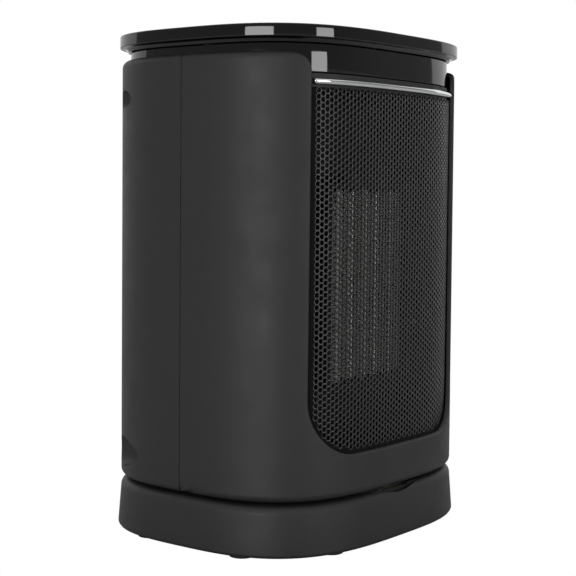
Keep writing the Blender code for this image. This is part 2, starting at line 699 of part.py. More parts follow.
def make_tip_plunger(look):
    """The plunger that the floor holds up, with a collar that stops it on the base plate."""
    collar_bottom = PLATE_TOP + PLUNGER_TRAVEL + FIT
    collar_top = collar_bottom + PLUNGER_COLLAR_THICKNESS
    profile = [(0, 0), (PLUNGER_RADIUS - PLUNGER_EDGE, 0), (PLUNGER_RADIUS, PLUNGER_EDGE),
               (PLUNGER_RADIUS, collar_bottom), (PLUNGER_COLLAR_RADIUS, collar_bottom),
               (PLUNGER_COLLAR_RADIUS, collar_top), (PLUNGER_STEM_RADIUS, collar_top),
               (PLUNGER_STEM_RADIUS, PLUNGER_STEM_TOP), (0, PLUNGER_STEM_TOP)]
    plunger = lathe("tip_plunger", profile, look["nylon"], steps=16)
    return place(plunger, (0, PLUNGER_Y, 0))


def make_plunger_spring(look):
    """A helix of round wire between the plunger's collar and the switch."""
    collar_top = PLATE_TOP + PLUNGER_TRAVEL + FIT + PLUNGER_COLLAR_THICKNESS
    low = collar_top + FIT + SPRING_WIRE
    high = SWITCH_FLOOR - FIT - SPRING_WIRE
    per_turn = 10
    count = SPRING_TURNS * per_turn
    curve = bpy.data.curves.new("plunger_spring", "CURVE")
    curve.dimensions = "3D"
    curve.bevel_depth = SPRING_WIRE
    curve.bevel_resolution = 1
    curve.use_fill_caps = True
    line = curve.splines.new("POLY")
    line.points.add(count)
    for i in range(count + 1):
        angle = 2 * math.pi * i / per_turn
        height = low + (high - low) * i / count
        line.points[i].co = (SPRING_RADIUS * math.cos(angle), SPRING_RADIUS * math.sin(angle), height, 1)
    curve.materials.append(look["steel"])
    spring = bpy.data.objects.new("plunger_spring", curve)
    bpy.context.scene.collection.objects.link(spring)
    return place(spring, (0, PLUNGER_Y, 0))


def make_cord_gland(look):
    """The bush in the base's back wall that a mains cord passes through, its flange inside."""
    wall_y = HALF_DEPTH + base_flare_at(GLAND_Z)
    flange_back = wall_y - BASE_WALL - GLAND_FLANGE_SLACK
    end = wall_y - GLAND_SINK
    start = end - GLAND_LENGTH
    profile = [(GLAND_BORE, 0), (GLAND_HEAD, 0), (GLAND_HEAD, flange_back - start),
               (GLAND_RADIUS, flange_back - start), (GLAND_RADIUS, GLAND_LENGTH), (GLAND_BORE, GLAND_LENGTH)]
    gland = lathe("cord_gland", profile, look["rubber"], steps=16)
    return place(gland, (0, start, GLAND_Z), "Y")


def base_flare_at(height):
    """How far the base's side stands out from the plan outline at a height."""
    low = FOOT_HEIGHT + BASE_BOTTOM_FILLET
    high = BASE_TOP - BASE_TOP_FILLET
    share = (height - low) / (high - low)
    return BASE_FLARE_BOTTOM + share * (BASE_FLARE_TOP - BASE_FLARE_BOTTOM)


# ---------------------------------------------------------------- turntable

def make_body_floor(look):
    """The plate that closes the swinging body, with the hollow pivot under it."""
    offset = SHELL_TAPER - SHELL_BOTTOM_FILLET - SHELL_LIP - FIT
    plate = sweep("body_floor", [(offset, FLOOR_BOTTOM), (offset, FLOOR_TOP)],
                  look["inner_plastic"], capped=True)
    join(plate, rod("pivot", PIVOT_RADIUS, "Z", PIVOT_BOTTOM, FLOOR_TOP - MM, (0, 0), steps=32))
    for x, y in power_board_posts():
        join(plate, rod(f"floor_post_{x:.3f}_{y:.3f}", POST_RADIUS, "Z", FLOOR_TOP - MM,
                        FLOOR_TOP + POWER_BOARD_LIFT - FIT, (x, y), steps=8))
    cut(plate, rod("pivot_bore", PIVOT_BORE, "Z", 0, FLOOR_TOP + CUT, (0, 0), steps=32))
    return plate


def power_board_posts():
    width, depth = POWER_BOARD_SIZE
    inset = 2 * POST_RADIUS
    return [(x, POWER_BOARD_Y + y) for x in (inset - width / 2, width / 2 - inset)
            for y in (inset - depth / 2, depth / 2 - inset)]


def make_drive_gear(look):
    gear = prism("drive_gear", gear_outline(GEAR_TEETH, 0.0, 2), "Z", GEAR_BOTTOM, GEAR_TOP, look["nylon"])
    cut(gear, rod("gear_bore", PIVOT_RADIUS + FIT, "Z", 0, GEAR_TOP + CUT, (0, 0), steps=32))
    return gear


def make_retaining_ring(look):
    top = GEAR_BOTTOM - FIT
    ring = rod("retaining_ring", RETAINER_RADIUS, "Z", top - RETAINER_THICKNESS, top, (0, 0),
               look["steel"], steps=32)
    cut(ring, rod("retainer_bore", PIVOT_RADIUS + FIT, "Z", 0, GEAR_TOP, (0, 0), steps=32))
    return ring


# ---------------------------------------------------------------- shells

def shell_profile():
    """Closed section of the shell wall: round lower edge, tapered wall, rounded shoulder."""
    top, bottom = SHELL_TOP, SHELL_BOTTOM
    lip_top = bottom + SHELL_WALL
    outer = arc((SHELL_TAPER - SHELL_BOTTOM_FILLET, bottom + SHELL_BOTTOM_FILLET),
                SHELL_BOTTOM_FILLET, -90, 0, 4)
    outer += arc((-SHELL_TOP_FILLET, top - SHELL_TOP_FILLET), SHELL_TOP_FILLET, 0, 90, 4)
    lip = SHELL_TAPER - SHELL_BOTTOM_FILLET - SHELL_LIP
    inner = [(-SHELL_TOP_FILLET, top - SHELL_WALL), (SHELL_INNER, top - SHELL_TOP_FILLET - SHELL_WALL / 2)]
    inner += [(SHELL_INNER + SHELL_TAPER, lip_top + SHELL_BOTTOM_FILLET)]
    inner += [(lip, lip_top), (lip, bottom)]
    return outer + inner


def well_centres():
    return [(x, z) for x in (-WELL_X, WELL_X) for z in (WELL_LOW_Z, WELL_HIGH_Z)]


def well_radii():
    """The radius of each well in the order of their centres. The lower ones are wider."""
    return [WELL_LOW_RADIUS, WELL_HIGH_RADIUS] * 2


def make_front_shell(look):
    shell = sweep("front_shell", shell_profile(), look["shell_plastic"], half="front")
    cut(shell, window_prism("window_cut", 0.0, SHELL_TOP + 10 * MM, flared=True))
    rib = WELL_INSET - SHELL_WALL / 2
    for i, (x, z) in enumerate(well_centres(), 1):
        rib_x = x + math.copysign(rib / 2, x)
        join(shell, rod(f"front_boss_{i}", BOSS_RADIUS, "Y", -BOSS_LENGTH, -SEAM_GAP / 2, (x, z), steps=12))
        join(shell, prism(f"boss_rib_{i}", rectangle(rib, BOSS_RIB, (rib_x, z)), "Y", -BOSS_LENGTH, -SEAM_GAP / 2))
    for i, (x, z) in enumerate(well_centres(), 1):
        cut(shell, rod(f"front_pilot_{i}", SCREW_RADIUS + FIT, "Y", PILOT_FLOOR - BOSS_LENGTH, CUT, (x, z),
                       steps=10))
    return shell


def make_rear_shell(look):
    shell = sweep("rear_shell", shell_profile(), look["shell_plastic"], half="rear")
    skin = sweep("well_limit", [(SHELL_TAPER - WELL_SKIN, SHELL_BOTTOM), (-WELL_SKIN, SHELL_TOP)], capped=True)
    hide_cutter(skin)
    floor = WELL_FLOOR_Y - WELL_FLOOR_THICKNESS
    wells = [(x, z, radius) for (x, z), radius in zip(well_centres(), well_radii())]
    for i, (x, z, radius) in enumerate(wells, 1):
        tube = rod(f"well_tube_{i}", radius + WELL_WALL, "Y", floor, HALF_DEPTH, (x, z), steps=16)
        keep_inside(tube, skin)
        join(shell, tube)
    for i, (x, z, radius) in enumerate(wells, 1):
        cut(shell, rod(f"well_bore_{i}", radius, "Y", WELL_FLOOR_Y, HALF_DEPTH + CUT, (x, z), steps=16))
        cut(shell, rod(f"well_hole_{i}", SCREW_RADIUS + FIT, "Y", floor - CUT, HALF_DEPTH, (x, z), steps=10))
    cut(shell, make_slot_cutter())
    return shell


def make_slot_cutter():
    """Rows of air inlet slots behind the fan, two to a row with a bridge between them."""
    work = bmesh.new()
    rows = int(SLOT_FIELD_HEIGHT / SLOT_PITCH)
    low = HALF_DEPTH - 12 * MM
    high = HALF_DEPTH + 5 * MM
    for row in range(rows):
        z = ELEMENT_Z + (row - (rows - 1) / 2) * SLOT_PITCH
        for side in (-1, 1):
            x = side * (SLOT_WIDTH + SLOT_BRIDGE) / 2
            centre = Matrix.Translation((x, (low + high) / 2, z))
            size = Matrix.Diagonal((SLOT_WIDTH, high - low, SLOT_HEIGHT, 1))
            bmesh.ops.create_cube(work, size=1.0, matrix=centre @ size)
    return finish_mesh("inlet_slots", work, None)


def make_shell_screws(look):
    """Pan-head screws at the bottom of the wells, pointing forwards into the front bosses."""
    head_seat = WELL_FLOOR_Y + FIT
    screws = []
    for i, (x, z) in enumerate(well_centres(), 1):
        profile = [(0, -SCREW_HEAD_HEIGHT), (SCREW_HEAD_RADIUS * 0.7, -SCREW_HEAD_HEIGHT),
                   (SCREW_HEAD_RADIUS, -SCREW_HEAD_HEIGHT * 0.4), (SCREW_HEAD_RADIUS, 0),
                   (SCREW_RADIUS, 0), (SCREW_RADIUS, SCREW_LENGTH - SCREW_TIP), (0, SCREW_LENGTH)]
        screw = lathe(f"shell_screw_{i}", profile, look["steel"], steps=10)
        screw.rotation_euler = (math.pi / 2, 0, 0)
        screw.location = (x, head_seat, z)
        screws.append(screw)
    return screws


# ---------------------------------------------------------------- neck, lid and controls

def make_neck_tray(look):
    """The gloss ring under the lid, with the floor that carries the control board."""
    outer = -NECK_INSET
    inner = outer - NECK_WALL
    profile = [(inner, NECK_FLOOR_TOP), (inner, NECK_TOP), (outer, NECK_TOP), (outer, NECK_BOTTOM)]
    tray = sweep("neck_tray", profile, look["gloss_plastic"], capped=True)
    for i, (x, y) in enumerate(control_board_posts(), 1):
        join(tray, rod(f"tray_post_{i}", POST_RADIUS, "Z", NECK_FLOOR_TOP - MM, CONTROL_BOARD_Z - FIT,
                       (x, y), steps=8))
    cut(tray, rod("wire_duct", DUCT_HOLE_RADIUS, "Z", 0, NECK_TOP, (0, HALF_DEPTH / 2), steps=16))
    return tray


def control_board_posts():
    width, depth = CONTROL_BOARD_SIZE
    inset = 1.3 * POST_RADIUS
    return [(x, BUTTON_Y + y) for x in (inset - width / 2, width / 2 - inset)
            for y in (inset - depth / 2, depth / 2 - inset)]


def button_xs():
    return [(i - (BUTTON_COUNT - 1) / 2) * BUTTON_PITCH for i in range(BUTTON_COUNT)]


def make_top_lid(look):
    """The gloss lid: flat top, upright band, and a cove under it that runs in to the neck."""
    band_bottom = HEIGHT - LID_BAND
    cove_in = -NECK_INSET
    inner = cove_in - NECK_WALL
    profile = [(inner, LID_CEILING), (inner, LID_LIP), (cove_in, LID_LIP)]
    profile += [(cove_in + 1.0 * MM, LID_LIP + 0.7 * MM), (LID_OVERHANG - 1.2 * MM, band_bottom - 0.6 * MM)]
    profile += [(LID_OVERHANG - 0.4 * MM, band_bottom - 0.4 * MM), (LID_OVERHANG, band_bottom + 0.4 * MM)]
    profile += [(LID_OVERHANG, HEIGHT - LID_EDGE), (LID_OVERHANG - LID_EDGE, HEIGHT)]
    lid = sweep("top_lid", profile, look["gloss_plastic"], capped=True)
    for i, x in enumerate(button_xs(), 1):
        cut(lid, rod(f"button_hole_{i}", BUTTON_RADIUS + FIT, "Z", LID_CEILING - CUT, HEIGHT + CUT,
                     (x, BUTTON_Y), steps=20))
    return lid


def make_buttons(look):
    """Flush push buttons: a cap in the lid, a flange under it and a stem over its switch."""
    flange_top = LID_CEILING - FIT
    stem_bottom = CONTROL_BOARD_Z + BOARD_THICKNESS + TACT_HEIGHT + BUTTON_TRAVEL + FIT
    top = HEIGHT - BUTTON_SINK
    buttons = []
    for i, x in enumerate(button_xs(), 1):
        profile = [(0, stem_bottom), (BUTTON_STEM, stem_bottom), (BUTTON_STEM, flange_top - BUTTON_FLANGE_THICKNESS),
                   (BUTTON_FLANGE, flange_top - BUTTON_FLANGE_THICKNESS), (BUTTON_FLANGE, flange_top),
                   (BUTTON_RADIUS, flange_top), (BUTTON_RADIUS, top - BUTTON_EDGE),
                   (BUTTON_RADIUS - BUTTON_EDGE, top), (0, top)]
        centred = [(radius, height - HEIGHT) for radius, height in profile]
        button = lathe(f"button_{i}", centred, look["gloss_plastic"], steps=16)
        buttons.append(place(button, (x, BUTTON_Y, HEIGHT)))
    return buttons


def make_control_board(look):
    width, depth = CONTROL_BOARD_SIZE
    top = CONTROL_BOARD_Z + BOARD_THICKNESS
    board = prism("control_board", rectangle(width, depth, (0, BUTTON_Y)), "Z", CONTROL_BOARD_Z, top,
                  look["board"])
    for i, x in enumerate(button_xs(), 1):
        join(board, prism(f"tact_switch_{i}", rectangle(TACT_SIZE, TACT_SIZE, (x, BUTTON_Y)), "Z",
                          top - WELD, top + TACT_HEIGHT))
    return board


# ---------------------------------------------------------------- grille and trim

def make_front_grille(look):
    """The curved sheet behind the window. Its perforations are too many for this model."""
    back = GRILLE_FACE - GRILLE_THICKNESS
    low = WINDOW_BOTTOM - 2 * GRILLE_MARGIN
    profile = [(back, low), (GRILLE_FACE, low), (GRILLE_FACE, SHELL_TOP), (back, SHELL_TOP)]
    sheet = sweep("front_grille", profile, look["grille_metal"], half="front")
    keep_inside(sheet, window_prism("grille_edge", GRILLE_MARGIN, GRILLE_TOP))
    return sheet


def make_grille_frame(look):
    """The bezel behind the sheet, open in the middle, with a bar for the trim strip on top."""
    back = FRAME_FACE - FRAME_THICKNESS
    low = WINDOW_BOTTOM - 2 * FRAME_OUTER_MARGIN
    profile = [(back, low), (FRAME_FACE, low), (FRAME_FACE, SHELL_TOP), (back, SHELL_TOP)]
    frame = sweep("grille_frame", profile, look["inner_plastic"], half="front")
    keep_inside(frame, window_prism("frame_edge", FRAME_OUTER_MARGIN, FRAME_TOP))
    cut(frame, window_prism("frame_opening", -FRAME_INNER_MARGIN, FRAME_TOP - FRAME_TOP_BAR))
    return frame


def make_chrome_strip(look):
    """A half-round bright strip with round ends, across the top bar of the frame."""
    back = FRAME_FACE + FIT
    half = TRIM_HEIGHT / 2
    profile = [(back + TRIM_DEPTH * math.cos(math.radians(angle)), TRIM_Z + half * math.sin(math.radians(angle)))
               for angle in range(-90, 91, 30)]
    strip = sweep("chrome_strip", profile, look["chrome"], half="front")
    keep_inside(strip, prism("trim_ends", stadium(TRIM_HALF_WIDTH, TRIM_HEIGHT + 0.02 * MM, TRIM_Z), "Y",
                             -HALF_DEPTH - 10 * MM, -20 * MM))
    return strip


# ---------------------------------------------------------------- heating element

def element_unit_x(unit):
    return (unit - (BAR_COUNT - 1) / 2) * ELEMENT_PITCH


def make_heating_bars(look):
    """Flat sleeves that hold the ceramic stones, standing upright."""
    bars = []
    for i in range(BAR_COUNT):
        bars.append(prism(f"heating_bar_{i + 1}",
                          rectangle(BAR_WIDTH, ELEMENT_HEIGHT, (element_unit_x(i), ELEMENT_Z)),
                          "Y", ELEMENT_FRONT_Y, ELEMENT_BACK_Y, look["aluminium"]))
    return bars


def make_fin_packs(look):
    """Corrugated strips on thin side plates, one on each side of each heating bar."""
    packs = []
    for i in range(BAR_COUNT):
        for side in (-1, 1):
            inner = element_unit_x(i) + side * (BAR_WIDTH / 2 + FIT)
            name = f"fin_pack_{len(packs) + 1}"
            packs.append(prism(name, fold_outline(inner, inner + side * FIN_WIDTH), "Y",
                               ELEMENT_FRONT_Y + FIN_SETBACK, ELEMENT_BACK_Y - FIN_SETBACK,
                               look["aluminium"]))
    return packs


def fold_outline(inner_x, outer_x):
    """Side plate with V-shaped folds: each fold leaves the plate, touches the bar and returns."""
    way = 1 if outer_x > inner_x else -1
    plate = outer_x - way * FIN_PLATE
    low = ELEMENT_Z - ELEMENT_HEIGHT / 2 + FIN_END_CLEARANCE
    high = ELEMENT_Z + ELEMENT_HEIGHT / 2 - FIN_END_CLEARANCE
    pitch = (high - low) / FIN_CRESTS
    strip = FIN_STRIP
    points = [(outer_x, low), (outer_x, high), (plate, high)]
    for i in reversed(range(FIN_CRESTS)):
        middle = low + (i + 0.5) * pitch
        points += [(inner_x, middle + strip / 2), (inner_x, middle - strip / 2)]
        if i:
            points += [(plate, middle - pitch / 2 + strip / 2), (plate, middle - pitch / 2 - strip / 2)]
    points += [(plate, low)]
    return points


def make_heater_frame(look):
    """The rectangular duct that holds the element and leads air to it from the fan."""
    half_width = ELEMENT_HALF_WIDTH + FIT
    height = ELEMENT_HEIGHT + 2 * FIT
    front = ELEMENT_FRONT_Y - DUCT_FRONT_REACH
    back = SHROUD_Y - FIT
    frame = prism("heater_frame",
                  rectangle(2 * (half_width + DUCT_WALL), height + 2 * DUCT_WALL, (0, ELEMENT_Z)),
                  "Y", front, back, look["inner_plastic"])
    cut(frame, prism("duct_hollow", rectangle(2 * half_width, height, (0, ELEMENT_Z)), "Y",
                     front - CUT, back + CUT))
    return frame


def make_thermal_cutout(look):
    """A bimetal disc thermostat on top of the heater frame."""
    seat = ELEMENT_Z + ELEMENT_HEIGHT / 2 + FIT + DUCT_WALL + FIT
    profile = [(0, 0), (CUTOUT_RADIUS, 0), (CUTOUT_RADIUS, 0.5 * CUTOUT_HEIGHT),
               (0.8 * CUTOUT_RADIUS, 0.5 * CUTOUT_HEIGHT), (0.8 * CUTOUT_RADIUS, CUTOUT_HEIGHT),
               (0, CUTOUT_HEIGHT)]
    disc = lathe("thermal_cutout", profile, look["inner_plastic"], steps=16)
    middle = (ELEMENT_FRONT_Y - DUCT_FRONT_REACH + SHROUD_Y - FIT) / 2
    return place(disc, (0, middle, seat))


# ---------------------------------------------------------------- fan

def make_fan_shroud(look):
    """The bulkhead across the body, with the fan's ring and the spider that holds the motor."""
    offset = SHELL_INNER - 1.0 * MM
    bottom = FLOOR_TOP + POWER_BOARD_LIFT
    top = NECK_BOTTOM - SHROUD_TOP_GAP
    half_width = inner_half_width_at(SHROUD_Y, offset)
    bulkhead = prism("fan_shroud",
                     rectangle(2 * half_width, top - bottom, (0, (top + bottom) / 2)),
                     "Y", SHROUD_Y, SHROUD_Y + SHROUD_THICKNESS, look["inner_plastic"])
    centre = (0, ELEMENT_Z)
    join(bulkhead, rod("fan_ring", FAN_RING_INNER + FAN_RING_WALL, "Y", SHROUD_Y + MM,
                       SPIDER_BACK_Y, centre, steps=40))
    cut(bulkhead, rod("fan_opening", FAN_RING_INNER, "Y", SHROUD_Y - CUT, SPIDER_BACK_Y + CUT,
                      centre, steps=40))
    join(bulkhead, make_spider())
    cut(bulkhead, rod("spider_bore", BUSH_RADIUS + 2 * MM, "Y", SHROUD_Y, SPIDER_BACK_Y + CUT, centre,
                      steps=16))
    return bulkhead


def inner_half_width_at(y, offset):
    """Half the width inside the outline, moved by offset, where it crosses the given y."""
    points = outline(offset)
    quarter = points[3 * OUTLINE_STEPS:] + points[:1]
    for (x0, y0), (x1, y1) in zip(quarter, quarter[1:]):
        if y0 <= y <= y1:
            return x0 + (x1 - x0) * (y - y0) / (y1 - y0)
    raise ValueError("the bulkhead lies outside the body")


def make_spider():
    """Crossed arms and a round plate in one, behind the impeller."""
    spider = rod("spider", SPIDER_HUB, "Y", SPIDER_FRONT_Y, SPIDER_BACK_Y, (0, ELEMENT_Z), steps=24)
    reach = FAN_RING_INNER + FAN_RING_WALL / 2
    for k in range(SPIDER_ARMS // 2):
        angle = math.pi / 4 + k * math.pi / 2
        along = Vector((math.cos(angle), math.sin(angle)))
        across = Vector((-along.y, along.x)) * SPIDER_WIDTH / 2
        ends = [along * reach + across, along * -reach + across, along * -reach - across, along * reach - across]
        arm = prism(f"spider_arm_{k + 1}", [(p.x, p.y + ELEMENT_Z) for p in ends], "Y",
                    SPIDER_FRONT_Y + 0.01 * MM, SPIDER_BACK_Y - 0.01 * MM)
        join(spider, arm)
    return spider


def make_fan_impeller(look):
    """A hub with twisted blades, turning about +Y. The blades' root sits inside the hub."""
    hub = lathe("fan_impeller",
                [(SHAFT_RADIUS + FIT, 0), (FAN_HUB_RADIUS - 2 * MM, 0), (FAN_HUB_RADIUS, 2 * MM),
                 (FAN_HUB_RADIUS, FAN_HUB_LENGTH), (SHAFT_RADIUS + FIT, FAN_HUB_LENGTH)],
                look["inner_plastic"], steps=28)
    for k in range(FAN_BLADES):
        join(hub, make_blade(k))
    return place(hub, (0, FAN_FRONT_Y, ELEMENT_Z), "Y")


def make_blade(k):
    """One blade as a grid: the chord turns flatter towards the tip. Cutters share the hub's place."""
    work = bmesh.new()
    stations = 4
    rows = []
    for i in range(stations + 1):
        share = i / stations
        radius = FAN_HUB_RADIUS - 3 * MM + (FAN_RADIUS - FAN_HUB_RADIUS + 3 * MM) * share
        pitch = FAN_BLADE_PITCH * (1 - 0.35 * share)
        chord = FAN_BLADE_CHORD * (0.62 + 0.55 * share)
        row = []
        for side, skin in ((-1, -1), (1, -1), (1, 1), (-1, 1)):
            along = side * chord / 2 * math.cos(pitch)
            up = side * chord / 2 * math.sin(pitch) + skin * FAN_BLADE_THICKNESS / 2
            angle = along / radius + 2 * math.pi * k / FAN_BLADES
            row.append(work.verts.new((radius * math.cos(angle), radius * math.sin(angle),
                                       FAN_HUB_LENGTH / 2 + up)))
        rows.append(row)
    bridge(work, rows, wrap_rows=False, wrap_points=True)
    work.faces.new(rows[0])
    work.faces.new(list(reversed(rows[-1])))
    bmesh.ops.triangulate(work, faces=work.faces)
    blade = finish_mesh(f"blade_{k + 1}", work, None)
    return place(blade, (0, FAN_FRONT_Y, ELEMENT_Z), "Y")


def motor_planes():
    """Front faces along Y of the motor's pieces, from the spider backwards."""
    front_bracket = SPIDER_BACK_Y + FIT
    stator = front_bracket + BRACKET_THICKNESS + BRACKET_STANDOFF
    rear_bracket = stator + STATOR_THICKNESS + BRACKET_STANDOFF
    return front_bracket, stator, rear_bracket


def make_fan_shaft(look):
    rear_bracket = motor_planes()[2]
    end = rear_bracket + BRACKET_THICKNESS + BUSH_LENGTH / 2 + 2 * MM
    start = FAN_FRONT_Y + MM
    shaft = rod("fan_shaft", SHAFT_RADIUS, "Z", 0, end - start, (0, 0), look["steel"], steps=14)
    return place(shaft, (0, start, ELEMENT_Z), "Y")


def stator_centre_z():
    return ELEMENT_Z - (STATOR_SIZE[1] / 2 - ROTOR_RADIUS - STATOR_CROWN)


def coil_z():
    return stator_centre_z() - STATOR_SIZE[1] / 2 + STATOR_YOKE + STATOR_WINDOW[1] / 2


def make_stator(look):
    """The lamination stack, with the rotor's bore and a window round the coil."""
    front = motor_planes()[1]
    back = front + STATOR_THICKNESS
    stator = prism("motor_stator", rectangle(*STATOR_SIZE, (0, stator_centre_z())), "Y", front, back,
                   look["steel"])
    cut(stator, rod("rotor_bore", ROTOR_RADIUS + ROTOR_AIR_GAP, "Y", front - CUT, back + CUT,
                    (0, ELEMENT_Z), steps=24))
    cut(stator, prism("coil_window", rectangle(*STATOR_WINDOW, (0, coil_z())), "Y", front - CUT, back + CUT))
    return stator


def make_coil(look):
    width, height, depth = COIL_SIZE
    middle = motor_planes()[1] + STATOR_THICKNESS / 2
    return prism("motor_coil", rectangle(width, height, (0, coil_z())), "Y",
                 middle - depth / 2, middle + depth / 2, look["copper"])


def make_rotor(look):
    bore = SHAFT_RADIUS + FIT
    rotor = lathe("motor_rotor", [(bore, 0), (ROTOR_RADIUS, 0), (ROTOR_RADIUS, STATOR_THICKNESS),
                                  (bore, STATOR_THICKNESS)], look["steel"], steps=24)
    return place(rotor, (0, motor_planes()[1], ELEMENT_Z), "Y")


def make_bracket(look, name, front, leg_start, leg_end):
    """A strap across the motor with two legs that stand on the stator and a seat for a bush."""
    width = STATOR_SIZE[0] - 2 * BRACKET_INSET
    bracket = prism(name, rectangle(width, BRACKET_WIDTH, (0, ELEMENT_Z)), "Y", front,
                    front + BRACKET_THICKNESS, look["aluminium"])
    leg_width, leg_height = BRACKET_LEG
    for side in (-1, 1):
        leg_x = side * (width / 2 - leg_width / 2 - FIT)
        join(bracket, prism(f"{name}_leg_{side}", rectangle(leg_width, leg_height, (leg_x, ELEMENT_Z)), "Y",
                            leg_start, leg_end))
    cut(bracket, rod(f"{name}_seat", BUSH_RADIUS + FIT, "Y", front - CUT, front + BRACKET_THICKNESS + CUT,
                     (0, ELEMENT_Z), steps=16))
    return bracket


def make_brackets(look):
    front_y, stator_y, rear_y = motor_planes()
    stator_back = stator_y + STATOR_THICKNESS
    return [
        make_bracket(look, "motor_bracket_front", front_y, front_y + WELD, stator_y - FIT),
        make_bracket(look, "motor_bracket_rear", rear_y, stator_back + FIT, rear_y + BRACKET_THICKNESS - WELD),
    ]


def make_bushes(look):
    bore = SHAFT_RADIUS + FIT
    front_y, _, rear_y = motor_planes()
    bushes = []
    for name, y in (("bush_front", front_y), ("bush_rear", rear_y)):
        bush = lathe(name, [(bore, 0), (BUSH_RADIUS, 0), (BUSH_RADIUS, BUSH_LENGTH), (bore, BUSH_LENGTH)],
                     look["bronze"], steps=16)
        bushes.append(place(bush, (0, y + BRACKET_THICKNESS / 2 - BUSH_LENGTH / 2, ELEMENT_Z), "Y"))
    return bushes


def make_power_board(look):
    width, depth = POWER_BOARD_SIZE
    bottom = FLOOR_TOP + POWER_BOARD_LIFT
    top = bottom + BOARD_THICKNESS
    board = prism("power_board", rectangle(width, depth, (0, POWER_BOARD_Y)), "Z", bottom, top, look["board"])
    relay_width, relay_depth, relay_height = RELAY_SIZE
    for side in (-1, 1):
        join(board, prism(f"relay_{side}", rectangle(relay_width, relay_depth,
                                                     (side * relay_width, POWER_BOARD_Y)),
                          "Z", top - WELD, top + relay_height))
    return board


# ---------------------------------------------------------------- assembly

def main():
    for item in list(bpy.data.objects):
        bpy.data.objects.remove(item, do_unlink=True)
    look = make_materials()

    make_base_cover(look)
    make_base_plate(look)
    make_feet(look)
    make_swing_motor(look)
    make_drive_pinion(look)
    make_glide_ring(look)
    make_tip_switch(look)
    make_tip_plunger(look)
    make_plunger_spring(look)
    make_cord_gland(look)

    swing = make_pivot("swing_axis", (0, 0, SHELL_BOTTOM))
    fan_axis = make_pivot("fan_axis", (0, FAN_FRONT_Y, ELEMENT_Z))
    spinning = [make_fan_impeller(look), make_fan_shaft(look), make_rotor(look)]
    swinging = [
        make_stator(look), make_coil(look), make_body_floor(look), make_drive_gear(look), make_retaining_ring(look),
        make_front_shell(look), make_rear_shell(look), make_neck_tray(look), make_top_lid(look),
        make_control_board(look), make_front_grille(look), make_grille_frame(look),
        make_chrome_strip(look), make_heater_frame(look), make_thermal_cutout(look),
        make_fan_shroud(look), make_power_board(look),
    ]
    swinging += make_shell_screws(look) + make_buttons(look) + make_heating_bars(look) + make_fin_packs(look)
    swinging += make_brackets(look) + make_bushes(look)
    hang_on(swing, swinging)
    hang_on(fan_axis, spinning)
    hang_on(swing, [fan_axis])


main()
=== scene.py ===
"""Looks of a swinging tabletop ceramic heater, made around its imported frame.

Every length is in metres and every piece lies where the frame's own node lies. The air
outlet faces -Y. Pieces that the frame only blocks out are made again here as smooth
surfaces, and every other node keeps its mesh and gets the finish of its real material.
"""

import logging
import math
from dataclasses import dataclass, field
from enum import Enum

import bpy
import numpy as np
from mathutils import Matrix, Vector


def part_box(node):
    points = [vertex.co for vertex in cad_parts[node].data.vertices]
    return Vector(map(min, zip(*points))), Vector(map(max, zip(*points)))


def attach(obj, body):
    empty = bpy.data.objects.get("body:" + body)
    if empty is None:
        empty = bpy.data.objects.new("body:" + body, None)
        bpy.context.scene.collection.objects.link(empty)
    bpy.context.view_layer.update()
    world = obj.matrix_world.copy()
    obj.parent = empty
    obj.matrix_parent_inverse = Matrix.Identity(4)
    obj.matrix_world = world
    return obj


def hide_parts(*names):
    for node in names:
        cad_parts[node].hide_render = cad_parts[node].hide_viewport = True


MM = 0.001
# How far a cutting surface goes past what it cuts.
REACH = 5 * MM
# From this angle in degrees an edge stays sharp: on most pieces, and on small mouldings.
SHARP = 40.0
FINE_SHARP = 30.0
# A circuit board's upper face lies this far above its lowest point.
BOARD_RISE = 1.7 * MM
LOG = logging.getLogger("heater")
Faces = list[tuple[int, ...]]

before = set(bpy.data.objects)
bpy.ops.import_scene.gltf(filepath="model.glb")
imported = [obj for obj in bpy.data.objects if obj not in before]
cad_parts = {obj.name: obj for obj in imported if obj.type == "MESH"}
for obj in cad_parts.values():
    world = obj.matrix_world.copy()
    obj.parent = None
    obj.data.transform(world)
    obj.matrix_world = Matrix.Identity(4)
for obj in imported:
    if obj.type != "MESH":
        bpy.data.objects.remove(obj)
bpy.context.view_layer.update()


# ---------------------------------------------------------------- finishes


def linear(code: str) -> tuple[float, float, float, float]:
    """Turns an sRGB hex colour into linear values.

    Args:
        code: six hex digits, such as "1c1c1e".

    Returns:
        Linear red, green and blue, and an alpha of 1.
    """
    shares = [int(code[i : i + 2], 16) / 255 for i in (0, 2, 4)]
    parts = [s / 12.92 if s <= 0.04045 else ((s + 0.055) / 1.055) ** 2.4 for s in shares]
    return (parts[0], parts[1], parts[2], 1.0)


def add_node(tree: bpy.types.NodeTree, kind: str, settings: dict | None = None,
             links: dict | None = None) -> bpy.types.Node:
    """Adds one node, sets its sockets or properties, and links its inputs.

    Args:
        tree: the node tree it goes into.
        kind: the node's type, such as "ShaderNodeBump".
        settings: values by input name or position, or by the node's own property.
        links: output sockets by the name or position of the input that they feed.

    Returns:
        The new node.
    """
    node = tree.nodes.new(kind)
    for key, value in (settings or {}).items():
        if isinstance(key, str) and key not in node.inputs:
            setattr(node, key, value)
        else:
            node.inputs[key].default_value = value
    for key, socket in (links or {}).items():
        tree.links.new(socket, node.inputs[key])
    return node


class Grain(Enum):
    """How a surface was made, which sets the pattern of its fine relief."""

    SPARK = "spark-eroded mould"
    POLISHED = "polished mould"
    ROLLED = "rolled or drawn"
    SPRAYED = "sprayed and baked"
    CAST = "pressed from powder"
    WOUND = "wound wire"


class Carving(Enum):
    """What a tool's surface does to the piece that it meets."""

    REMOVE = "DIFFERENCE"
    ADD = "UNION"
    LIMIT = "INTERSECT"


